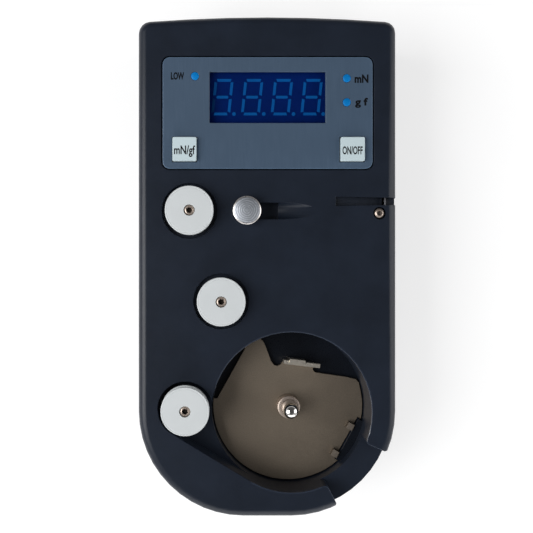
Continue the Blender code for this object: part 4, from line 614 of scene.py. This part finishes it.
class GAUGE_OT_case(bpy.types.Operator):
    """Smooth front and rear shells with rounded rims"""

    bl_idname = "gauge.case"
    bl_label = "Case shells"

    def execute(self, context):
        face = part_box("front_case")[1].z
        front = merged_copy("front_case")
        well = middle_of("spindle")
        post = middle_of("thread_post")
        pulley = middle_of("lower_pulley")
        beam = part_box("load_cell")[1]
        # The rounding where there is little room, and the shortest edge that gets one
        slight, shortest = 0.06 * MM, 0.3 * MM
        # How far down the well's edge slopes at its ends, and the fall from which an edge stays sharp
        slope_depth, steep = 2.3 * MM, 1.2 * MM
        # More room for the load cell, which bends towards this piece
        stand_off = 0.15 * MM

        def at_rim(place):
            """The well's round edge."""
            return abs(apart(place, well) - WELL_RADIUS) < 0.05 * MM

        def at_gap(place):
            """The two ends of the finger gap."""
            turn = math.degrees(math.atan2(place.y - well.y, place.x - well.x))
            beyond = apart(place, well) > WELL_RADIUS + 0.05 * MM
            return beyond and any(abs(turn - end) < GAP_END_REACH for end in GAP_ENDS)

        def in_lane(place):
            """The groove beside the post and the thread slot."""
            return place.x > post.x - 2 * MM and abs(place.y - post.y) < 5.5 * MM

        def by_pocket(place):
            """The sharp lip between the well and the lower pulley's pocket."""
            return apart(place, pulley) < 8.8 * MM

        def beside_beam(place):
            """The end wall of the groove's housing."""
            beyond = 0 < place.x - beam.x < 0.3 * MM and abs(place.y - post.y) < 3.9 * MM
            return beyond and beam.z - 0.5 * MM < place.z < beam.z + 2.7 * MM

        def rim_width(first, second):
            level = abs(first.z - face) < NEAR and abs(second.z - face) < NEAR
            sloping = first.z != second.z and min(first.z, second.z) > face - slope_depth
            if at_rim(first) and at_rim(second) and (level or sloping):
                if by_pocket(first) and by_pocket(second):
                    return slight
                return settings().well_rounding if abs(first.z - second.z) < steep else 0
            if not level or (first - second).length < shortest:
                return 0
            return slight if in_lane(first) or in_lane(second) else settings().rim_rounding

        def on_face(place):
            return place.z > face - NEAR

        def well_floor(place, normal):
            return apart(place, well) < WELL_RADIUS - 0.1 * MM and normal.z > 0.9 and place.z < face - 6 * MM

        def rounded_rim(place, normal):
            by_opening = -0.1 * MM < apart(place, well) - WELL_RADIUS < 0.5 * MM or at_gap(place)
            return by_opening and 0.1 < normal.z < 0.95 and place.z > face - 0.6 * MM

        weld_where(front, lambda place: at_gap(place) and place.z > face - 3 * MM, 0.16 * MM)
        shift_where(front, beside_beam, (stand_off, 0, 0))
        bevel_where(front, rim_width)
        # Where a wide rounding meets a narrow one, the face's outline would cross itself
        weld_where(front, on_face, NEAR)
        weld_where(front, lambda place: on_face(place) and at_gap(place), 0.17 * MM)
        finish_piece(front, "front_shell", "case", plain("case_plastic"), ["front_case"])
        # The well's floor is painted darker as shade
        paint_where(front, plain("floor_plastic"), well_floor)
        # The well's rounded rim and the finger gap's ends are painted paler as a highlight
        paint_where(front, plain("worn_edge"), rounded_rim)
        dressed_copy("rear_case", "rear_shell", "case", plain("case_plastic"))
        dressed_copy("battery_door", "sliding_door", "battery_door", plain("case_plastic"))
        return {"FINISHED"}


class GAUGE_OT_panel(bpy.types.Operator):
    """Display panel with softened edges, and its window"""

    bl_idname = "gauge.panel"
    bl_label = "Display panel"

    def execute(self, context):
        top = PANEL_HIGH.z
        # The corners' radius, and how far in from the outline the edge's painted highlight reaches
        corner, edge_band = 1.75 * MM, 0.2 * MM
        panel = merged_copy("display_panel")
        for name in LAMPS:
            shrink_opening(panel, middle_of(name), 1.4 * MM, 1.04 / 1.3)
        for name in BUTTONS:
            shrink_opening(panel, middle_of(name), 3.4 * MM, 3.14 / 3.3)

        def rim_width(first, second):
            return 0.16 * MM if min(first.z, second.z) > top - NEAR else 0

        def outer_edge(place, normal):
            to_side = min(place.x - PANEL_LOW.x, PANEL_HIGH.x - place.x)
            to_end = min(place.y - PANEL_LOW.y, PANEL_HIGH.y - place.y)
            in_corner = math.hypot(max(0, corner - to_side), max(0, corner - to_end)) > corner - edge_band
            rim = min(to_side, to_end) < edge_band or in_corner
            return rim and normal.z > 0.1 and place.z < top - 0.005 * MM

        bevel_where(panel, rim_width)
        finish_piece(panel, "overlay_panel", "case", panel_film(), ["display_panel"])
        # The bevel round the outline is painted paler as a highlight
        paint_where(panel, plain("panel_edge"), outer_edge)
        dressed_copy("display_window", "window_pane", "case", window_filter())
        return {"FINISHED"}


# How high capitals are in the built-in font, as a share of its size
CAPITALS_SHARE = 0.72


def label(text, name, centre, box, body, weight):
    """Printed words that fill a box, whose sides are told from the centre; weight is their boldness."""
    thickness = settings().print_thickness
    left, low, right, high = box
    bpy.ops.object.text_add(location=(0, 0, 0))
    obj = bpy.context.active_object
    obj.data.body = text
    obj.data.size = (high - low) / CAPITALS_SHARE
    obj.data.offset = (high - low) * weight
    obj.data.extrude = thickness / 2 * 0.9
    obj.data.resolution_u = 4
    bpy.ops.object.convert(target="MESH")
    across = [vertex.co.x for vertex in obj.data.vertices]
    along = [vertex.co.y for vertex in obj.data.vertices]
    obj.scale = ((right - left) / (max(across) - min(across)), (high - low) / (max(along) - min(along)), 1)
    obj.location = (
        centre[0] + left - min(across) * obj.scale.x,
        centre[1] + low - min(along) * obj.scale.y,
        centre[2] + thickness / 2,
    )
    settle(obj)
    edit(obj)
    bpy.ops.mesh.remove_doubles(threshold=SAME_PLACE / 4)
    leave_outwards()
    finish_piece(obj, name, body, plain("printed_ink"), ())


class GAUGE_OT_labels(bpy.types.Operator):
    """Plain printed words beside the lamps and on the buttons"""

    bl_idname = "gauge.labels"
    bl_label = "Labels"

    def execute(self, context):
        # Each word, the piece that it stands by, and its left, low, right and high side in millimetres
        words = (
            ("low_label", "LOW", "low_lamp", (-6.03, -0.92, -2.73, 0.95)),
            ("millinewton_label", "mN", "millinewton_lamp", (1.94, -1.17, 5.39, 0.93)),
            ("gram_force_label", "g f", "gram_force_lamp", (2.04, -1.42, 5.27, 1.1)),
            ("unit_button_label", settings().unit_label, "unit_button", (-2.6, -2.02, 2.65, 0.84)),
            ("power_button_label", settings().power_label, "power_button", (-2.6, -1.4, 2.42, 0.62)),
        )
        for name, text, beside, box in words:
            on_cap = beside in BUTTONS
            place = middle_of(beside)
            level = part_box(beside)[1].z if on_cap else PANEL_HIGH.z
            sides = [side * MM for side in box]
            body, weight = (beside, 0.028) if on_cap else ("case", 0.05)
            label(text, name, (place.x, place.y, level), sides, body, weight)
        return {"FINISHED"}


class GAUGE_OT_display(bpy.types.Operator):
    """Slanted seven-bar digits with their points, behind the window"""

    bl_idname = "gauge.display"
    bl_label = "Display digits"

    bar_thickness = 0.08 * MM
    # How much shorter the level bars are than the digit's width, and the side bars than half its height
    row_cuts = ((-1, 0.62 * MM), (0, 1.02 * MM), (1, 0.42 * MM))
    side_cut = 0.8 * MM
    # The radii of the point's first ring and its rim, and how far right of the side bars it stands
    point_top, point_foot, point_shift = 0.2 * MM, 0.46 * MM, 0.88 * MM
    # How far above the window's middle the digits stand
    rise = 0.5 * MM

    def bar(self, centre, length, turn, top, lift=0):
        """One bar with mitred ends; lift moves both tips to its upper or lower side."""
        width = settings().segment_width
        bpy.ops.mesh.primitive_circle_add(
            vertices=6, radius=width / 2, fill_type="NGON", location=(0, 0, 0), rotation=(0, 0, math.pi / 2)
        )
        obj = bpy.context.active_object
        settle(obj)
        for side in (1, -1):
            shift_where(obj, lambda place: place.x * side > 0, (side * (length - width) / 2, 0, 0))
        shift_where(obj, lambda place: abs(place.x) > length / 2 - width / 8, (0, lift * width * 0.4, 0))
        edit(obj)
        bpy.ops.mesh.extrude_region_move(TRANSFORM_OT_translate={"value": (0, 0, self.bar_thickness)})
        leave_outwards()
        obj.location = (centre[0], centre[1], top)
        obj.rotation_euler.z = turn
        settle(obj)
        return obj

    def bars(self, middle, top):
        """The seven bars of a digit by their side and row: three level ones and four at the sides."""
        gauge = settings()
        half_height = gauge.digit_height / 2
        half_width = gauge.digit_width / 2
        made = {}
        for row, cut in self.row_cuts:
            place = middle + Vector((row * half_height * math.tan(gauge.digit_slant), row * half_height))
            made[0, row] = self.bar(place, gauge.digit_width - cut, 0, top, row)
        for side in (-1, 1):
            for row in (-1, 1):
                lean = row * half_height / 2 * math.tan(gauge.digit_slant)
                place = middle + Vector((side * half_width + lean, row * half_height / 2))
                turn = math.pi / 2 - gauge.digit_slant
                made[side, row] = self.bar(place, half_height - self.side_cut, turn, top, -side)
        return made

    def painted_glow(self, name, share):
        """The bars' colour, brighter or dimmer by share, with a faint painted glow: the bars are not lit, and
        the glow stands in for light that reaches them through the window.
        """
        colour = shaded(settings().segment_colour, share)
        paint = grained(name, colour, 0.5, grain=2500.0, depth=0.001 * MM, gloss=0.2)
        shader = paint.node_tree.nodes["Principled BSDF"]
        # Painted glow on bars that are not lit
        shader.inputs["Emission Color"].default_value = (*colour, 1)
        shader.inputs["Emission Strength"].default_value = 0.45
        return paint

    def execute(self, context):
        gauge = settings()
        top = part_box("led_display")[1].z + 0.02 * MM
        bright = self.painted_glow("segment_glow", 1.0)
        # The first digit's left bars are dimmer
        dim = {
            (-1, 1): ("display_bar_upper_left", self.painted_glow("segment_soft", 0.62)),
            (-1, -1): ("display_bar_lower_left", self.painted_glow("segment_faint", 0.22)),
        }
        for number in range(gauge.digit_count):
            middle_x = WINDOW_MIDDLE.x + (number - (gauge.digit_count - 1) / 2) * gauge.digit_pitch
            middle = Vector((middle_x, WINDOW_MIDDLE.y + self.rise))
            made = self.bars(middle, top)
            if number == 0:
                for key, (name, paint) in dim.items():
                    finish_piece(made.pop(key), name, "case", paint, ())
            point = middle + Vector((gauge.digit_width / 2 + self.point_shift, -gauge.digit_height / 2))
            high = top + self.bar_thickness
            rings = [(self.point_top, high), (self.point_foot, high), (self.point_foot, top)]
            digit = joined([*made.values(), turned(rings, point, SMALL_STEPS)])
            finish_piece(digit, f"display_digit_{number + 1}", "case", bright, ())
        return {"FINISHED"}


class GAUGE_OT_lamps(bpy.types.Operator):
    """Domed lenses of the three indicator lamps"""

    bl_idname = "gauge.lamps"
    bl_label = "Indicator lamps"

    def execute(self, context):
        radius, depth = 1.0 * MM, 0.22 * MM
        for name in LAMPS:
            low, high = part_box(name)
            rings = [*dome(radius, depth, high.z, 8, 0.04 * MM), (radius, low.z)]
            lens = turned(rings, (low + high) / 2, SMALL_STEPS)
            finish_piece(lens, f"{name}_lens", "case", plain("lamp_lens"), [name])
        return {"FINISHED"}


class GAUGE_OT_buttons(bpy.types.Operator):
    """The two button caps"""

    bl_idname = "gauge.buttons"
    bl_label = "Buttons"

    def execute(self, context):
        for name in BUTTONS:
            dressed_copy(name, f"{name}_cap", name, plain("button_plastic"))
        return {"FINISHED"}


def socket_screw(node, name, body, radius, socket, shank, turn, inside):
    """A screw with a rounded head and a six-sided socket whose inside is painted with shade."""
    low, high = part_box(node)
    centre = (low + high) / 2
    width = radius - socket
    head_base = high.z - 1.2 * MM
    rings = [
        (socket * 0.6, high.z - 0.12 * MM),
        (socket + width * 0.06, high.z - 0.1 * MM),
        (socket + width * 0.16, high.z),
        (socket + width * 0.24, high.z - 0.01 * MM),
        (radius - width * 0.14, high.z - width * 0.4),
        (radius - width * 0.04, high.z - width * 0.52),
        (radius, high.z - width * 0.75),
        (radius, head_base),
        (shank, head_base),
        (shank, low.z),
    ]
    made = turned(rings, centre, SMALL_STEPS)
    punched(made, centre, socket, high.z - 0.9 * MM, high.z + 1 * MM, turn)
    finish_piece(made, name, body, plain("screw_nickel"), [node])

    def in_socket(place, normal):
        return apart(place, centre) < socket * 0.98 and high.z - 1.0 * MM < place.z < high.z - 0.14 * MM

    # The socket's inside is painted darker as shade
    paint_where(made, inside, in_socket)


class GAUGE_OT_pulleys(bpy.types.Operator):
    """Flanged thread pulleys with a rounded groove, and the socket screws that hold them"""

    bl_idname = "gauge.pulleys"
    bl_label = "Pulleys and their screws"

    def execute(self, context):
        for name in ("upper", "middle", "lower"):
            self.pulley(f"{name}_pulley", f"{name}_thread_pulley")
            body = "load_cell" if name == "middle" else "case"
            socket_screw(
                f"{name}_pulley_screw", f"{name}_pivot_screw", body, 1.3 * MM, 0.76 * MM, 0.9 * MM, 0.3,
                plain("socket_dark"),
            )
        return {"FINISHED"}

    def pulley(self, node, name):
        low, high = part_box(node)
        centre = (low + high) / 2
        base, top = low.z, high.z
        middle = (base + top) / 2
        radius = (high.x - low.x) / 2
        # The bore for the bush, the lip over it, and the hollow round it underneath
        bore, lip, hollow = 1.75 * MM, 1.37 * MM, 2.2 * MM
        hollow_top = base + 2.8 * MM
        # How thick a flange is, how deep the thread's groove is, how far edges are rounded
        flange, depth, soft = 0.9 * MM, 1.5 * MM, 0.14 * MM
        # Where the fine line runs round the face
        line = radius * 0.925
        rings = [
            (bore, hollow_top),
            (bore, top - 1.0 * MM),
            (lip, top - 0.8 * MM),
            (lip, top - 0.08 * MM),
            (lip + 0.08 * MM, top),
            (line - 0.12 * MM, top),
            (line - 0.05 * MM, top - 0.05 * MM),
            (line + 0.05 * MM, top - 0.05 * MM),
            (line + 0.12 * MM, top - 0.01 * MM),
            (radius - soft, top - 0.02 * MM),
            (radius - soft * 0.3, top - soft * 0.45),
            (radius, top - soft),
            (radius, top - flange + soft),
            (radius - soft, top - flange),
        ]
        steps = 12
        half = middle - (base + flange)
        for step in range(1, steps):
            angle = math.pi * step / steps
            reach = radius - soft - (depth - soft) * math.sin(angle) ** 0.8
            rings.append((reach, middle + half * math.cos(angle)))
        rings += [
            (radius - soft, base + flange),
            (radius, base + flange - soft),
            (radius, base + soft),
            (radius - soft, base),
            (hollow, base),
            (hollow, hollow_top),
        ]
        wheel = turned(rings, centre, closed=True)
        finish_piece(wheel, name, node, acetal(), [node])


class GAUGE_OT_post(bpy.types.Operator):
    """Turned post with a faced head"""

    bl_idname = "gauge.post"
    bl_label = "Thread post"

    def execute(self, context):
        low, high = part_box("thread_post")
        centre = (low + high) / 2
        radius = (high.x - low.x) / 2
        soft = 0.3 * MM
        neck, foot = 1.75 * MM, 1.0 * MM
        head_base = high.z - 1.5 * MM
        neck_base = PANEL_HIGH.z - 3.0 * MM
        rings = [
            (0.05 * MM, high.z),
            (radius - soft * 1.15, high.z),
            (radius - soft * 0.25, high.z - soft * 0.42),
            (radius - soft * 0.06, high.z - soft * 0.6),
            (radius, high.z - soft * 0.9),
            (radius, head_base + 0.1 * MM),
            (radius - 0.1 * MM, head_base),
            (neck, head_base),
            (neck, neck_base),
            (foot, neck_base),
            (foot, low.z),
        ]
        post = turned(rings, centre)
        finish_piece(post, "turned_post", "case", faced_aluminium(centre), ["thread_post"])
        # The chamfer is painted paler as a highlight
        paint_where(post, plain("chamfer_bright"), lambda place, normal: 0.05 < normal.z < 0.97)
        return {"FINISHED"}


class GAUGE_OT_cutter(bpy.types.Operator):
    """Blade in the thread slot and its small socket screw"""

    bl_idname = "gauge.cutter"
    bl_label = "Thread cutter"

    def execute(self, context):
        dressed_copy("cutter_blade", "slot_blade", "case", plain("ground_steel"))
        socket_screw(
            "cutter_screw", "blade_screw", "case", 1.24 * MM, 0.64 * MM, 0.7 * MM, 0.2, plain("socket_worn")
        )
        return {"FINISHED"}


class GAUGE_OT_adapter(bpy.types.Operator):
    """Plated adapter plate with its domed spindle"""

    bl_idname = "gauge.adapter"
    bl_label = "Adapter plate"

    def execute(self, context):
        plate = merged_copy("adapter_plate")
        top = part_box("adapter_plate")[0].z + PLATE_THICKNESS
        pivot = middle_of("spindle")
        key = Vector((math.cos(KEY_ANGLE), math.sin(KEY_ANGLE)))

        def outwards(place):
            """How far a point lies from the plate's middle towards the key."""
            return (place.x - pivot.x) * key.x + (place.y - pivot.y) * key.y

        def along(place):
            """How far a point lies along the notch, from the key's middle upwards."""
            return (place.y - pivot.y) * key.x - (place.x - pivot.x) * key.y

        def edge_width(first, second):
            level = abs(first.z - top) < NEAR and abs(second.z - top) < NEAR
            by_key = min(outwards(first), outwards(second)) > 15.5 * MM
            rounded = level and not by_key and (first - second).length > 0.3 * MM
            return settings().sheet_rounding if rounded else 0

        def bent_tab(place, normal):
            return place.z > top + NEAR and outwards(place) < 12 * MM

        def notch_tab(place, normal):
            return place.z > top + NEAR and outwards(place) > 15 * MM

        # The two small tabs stand to one side of the solid's, and a little nearer to each other
        for side, shift in ((1, -1.0 * MM), (-1, -0.55 * MM)):
            shift_where(
                plate,
                lambda place: place.z > top - NEAR and 15.5 * MM < outwards(place) < 17.7 * MM
                and 3.2 * MM < side * along(place) < 5.4 * MM,
                (-key.y * shift, key.x * shift, 0),
            )
        bevel_where(plate, edge_width)
        finish_piece(plate, "bent_plate", "adapter", nickel_sheet(), ["adapter_plate"])
        # The bent tab is painted paler as a highlight
        paint_where(plate, plain("bright_nickel"), bent_tab)
        # The notch tabs' sides are painted darker as shade, and their tops paler as a highlight
        paint_where(plate, nickel_painted_light(0.45), notch_tab)
        tops = nickel_painted_light(1.08)
        paint_where(plate, tops, lambda place, normal: notch_tab(place, normal) and normal.z > 0.9)
        self.spindle(top)
        return {"FINISHED"}

    def spindle(self, plate_top):
        low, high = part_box("spindle")
        radius, neck, foot = 1.95 * MM, 1.6 * MM, 2.0 * MM
        collar = (high.x - low.x) / 2
        collar_top, collar_base = plate_top + 3.3 * MM, plate_top + 0.3 * MM
        foot_top = plate_top - 1.3 * MM
        rings = [
            *dome(radius, radius, high.z, 12, 0.03 * MM),
            (radius, collar_top + 0.15 * MM),
            (radius + 0.12 * MM, collar_top),
            (collar - 0.35 * MM, collar_top),
            (collar - 0.1 * MM, collar_top - 0.1 * MM),
            (collar, collar_top - 0.35 * MM),
            (collar, collar_base),
            (neck, collar_base),
            (neck, foot_top),
            (foot, foot_top),
            (foot, low.z),
        ]
        pin = turned(rings, (low + high) / 2)
        finish_piece(pin, "domed_spindle", "adapter", plain("polished_steel"), ["spindle"])
        paint_where(pin, plain("screw_nickel"), lambda place, normal: place.z < collar_top + 0.1 * MM)


class GAUGE_OT_inside(bpy.types.Operator):
    """Finishes for the solids that stay as they are"""

    bl_idname = "gauge.inside"
    bl_label = "Inner pieces"

    def execute(self, context):
        finishes = {
            "display_dark": "display_face",
            "switch_black": "switch_plastic",
            "board_green": "board_mask",
            "aluminium": "milled_aluminium",
            "screw_nickel": "screw_nickel",
            "screw_steel": "plated_steel",
            "bush_brass": "turned_brass",
            "magnet_grey": "magnet_plating",
            "contact_nickel": "contact_plating",
            "battery_sleeve": "cell_sleeve",
            "gauge_amber": "gauge_film",
            "cable_grey": "ribbon",
        }
        slots = {row["node"]: row["material_slot"] for row in frame["record"]["subparts"]}
        for node, obj in frame["nodes"].items():
            if obj.hide_render:
                continue
            if slots[node] not in finishes:
                raise RuntimeError(f"no finish for {node}, whose slot is {slots[node]}")
            obj.data.materials.clear()
            obj.data.materials.append(plain(finishes[slots[node]]))
        return {"FINISHED"}


FLOOR_SIZE = 6.0
FLOOR_DROP = 0.2 * MM
FLOOR_GLOW = 0.63
SKY_STRENGTH = 0.7
# Height as a share of straight up, and how bright the sky is there, in front of the gauge and behind it
SKY_FRONT = ((0.0, 0.86), (0.62, 0.7), (0.84, 0.14), (1.0, 0.11))
SKY_BEHIND = ((0.0, 0.86), (0.14, 0.7), (0.34, 0.16), (1.0, 0.11))
EYE = Vector((-13.41 * MM, 0.125 * MM, 212 * MM))
PICTURE_MIDDLE = Vector((-0.28 * MM, 0))


class GAUGE_OT_stage(bpy.types.Operator):
    """Pale floor, soft lamps, sky and the camera"""

    bl_idname = "gauge.stage"
    bl_label = "Stage"

    def execute(self, context):
        self.floor()
        self.sky()
        self.lamps()
        self.camera()
        context.scene.view_settings.view_transform = "Standard"
        return {"FINISHED"}

    def floor(self):
        bpy.ops.mesh.primitive_plane_add(size=FLOOR_SIZE, location=(0, 0, -FLOOR_DROP))
        ground = bpy.context.active_object
        ground.name = "floor"
        material, tree, shader = new_material("pale_floor")
        speck = noise(tree, 40.0)
        tone = blend_colours(tree, remap(tree, speck, 0, 1), (0.46, 0.46, 0.46), (0.48, 0.48, 0.48))
        tree.links.new(tone, shader.inputs["Base Color"])
        shader.inputs["Roughness"].default_value = 0.9
        shader.inputs["Emission Color"].default_value = (1, 1, 1, 1)
        # The floor glows only where it is looked at, so it is white without lighting the case
        rays = tree.nodes.new("ShaderNodeLightPath").outputs
        glow = rays["Is Camera Ray"]
        sums = (
            ("MAXIMUM", rays["Is Glossy Ray"]),
            ("MAXIMUM", rays["Is Transmission Ray"]),
            ("MULTIPLY", FLOOR_GLOW),
        )
        for operation, other in sums:
            step = tree.nodes.new("ShaderNodeMath")
            step.operation = operation
            feed(tree, glow, step.inputs[0])
            feed(tree, other, step.inputs[1])
            glow = step.outputs[0]
        tree.links.new(glow, shader.inputs["Emission Strength"])
        ground.data.materials.append(material)

    def sky(self):
        """Dim overhead and behind, pale towards the front, as under a hooded copy stand."""
        world = bpy.data.worlds.new("studio_sky")
        bpy.context.scene.world = world
        world.use_nodes = True
        tree = world.node_tree
        background = tree.nodes["Background"]
        place = tree.nodes.new("ShaderNodeTexCoord")
        split = tree.nodes.new("ShaderNodeSeparateXYZ")
        tree.links.new(place.outputs["Generated"], split.inputs["Vector"])
        shades = []
        for stops in (SKY_FRONT, SKY_BEHIND):
            ramp = tree.nodes.new("ShaderNodeValToRGB")
            elements = ramp.color_ramp.elements
            while len(elements) < len(stops):
                elements.new(0.5)
            for element, (position, level) in zip(elements, stops):
                element.position = position
                element.color = (level, level, level * 1.02, 1)
            tree.links.new(split.outputs["Z"], ramp.inputs["Fac"])
            shades.append(ramp.outputs["Color"])
        turn = remap(tree, split.outputs["Y"], 0, 1, -0.5, 0.3)
        tree.links.new(blend_colours(tree, turn, *shades), background.inputs["Color"])
        background.inputs["Strength"].default_value = SKY_STRENGTH

    def lamps(self):
        """Soft boxes at both sides, the left one stronger, and a wide dim one in front."""
        boxes = {
            "left_box": ((-0.42, -0.04, 0.4), (0.42, 0.42), 2.95),
            "right_box": ((0.5, 0.0, 0.25), (0.42, 0.42), 1.2),
            "near_box": ((0.04, -0.56, 0.2), (0.8, 0.32), 1.3),
        }
        for name, (place, size, power) in boxes.items():
            data = bpy.data.lights.new(name, "AREA")
            data.shape = "RECTANGLE"
            data.size, data.size_y = size
            data.energy = power
            lamp = bpy.data.objects.new(name, data)
            bpy.context.scene.collection.objects.link(lamp)
            lamp.location = place
            lamp.rotation_euler = (-Vector(place)).to_track_quat("-Z", "Y").to_euler()

    def camera(self):
        """Straight above, a little left of the middle, with the frame shifted back over the object."""
        data = bpy.data.cameras.new("camera")
        data.lens = 50
        data.sensor_width = 36
        width = data.sensor_width / data.lens * (EYE.z - PANEL_HIGH.z)
        data.shift_x = (PICTURE_MIDDLE.x - EYE.x) / width
        data.shift_y = (PICTURE_MIDDLE.y - EYE.y) / width
        data.clip_start = 0.01
        data.clip_end = 20
        camera = bpy.data.objects.new("camera", data)
        bpy.context.scene.collection.objects.link(camera)
        camera.location = EYE
        bpy.context.scene.camera = camera


class GAUGE_PT_panel(bpy.types.Panel):
    """Lists the gauge's sizes, colours and pieces"""

    bl_idname = "GAUGE_PT_panel"
    bl_label = "Tension Gauge"
    bl_space_type = "VIEW_3D"
    bl_region_type = "UI"
    bl_category = "Gauge"

    def draw(self, context):
        for name in GaugeSettings.__annotations__:
            self.layout.prop(context.scene.gauge, name)
        for operator in OPERATORS:
            self.layout.operator(operator.bl_idname)


OPERATORS = (
    GAUGE_OT_case,
    GAUGE_OT_panel,
    GAUGE_OT_labels,
    GAUGE_OT_display,
    GAUGE_OT_lamps,
    GAUGE_OT_buttons,
    GAUGE_OT_pulleys,
    GAUGE_OT_post,
    GAUGE_OT_cutter,
    GAUGE_OT_adapter,
    GAUGE_OT_inside,
    GAUGE_OT_stage,
)
CLASSES = (GaugeSettings, *OPERATORS, GAUGE_PT_panel)


def register():
    for kind in CLASSES:
        bpy.utils.register_class(kind)
    bpy.types.Scene.gauge = PointerProperty(type=GaugeSettings)


def unregister():
    del bpy.types.Scene.gauge
    for kind in reversed(CLASSES):
        bpy.utils.unregister_class(kind)


def main():
    register()
    for operator in OPERATORS:
        getattr(bpy.ops.gauge, operator.bl_idname.removeprefix("gauge."))()


if __name__ == "__main__":
    main()
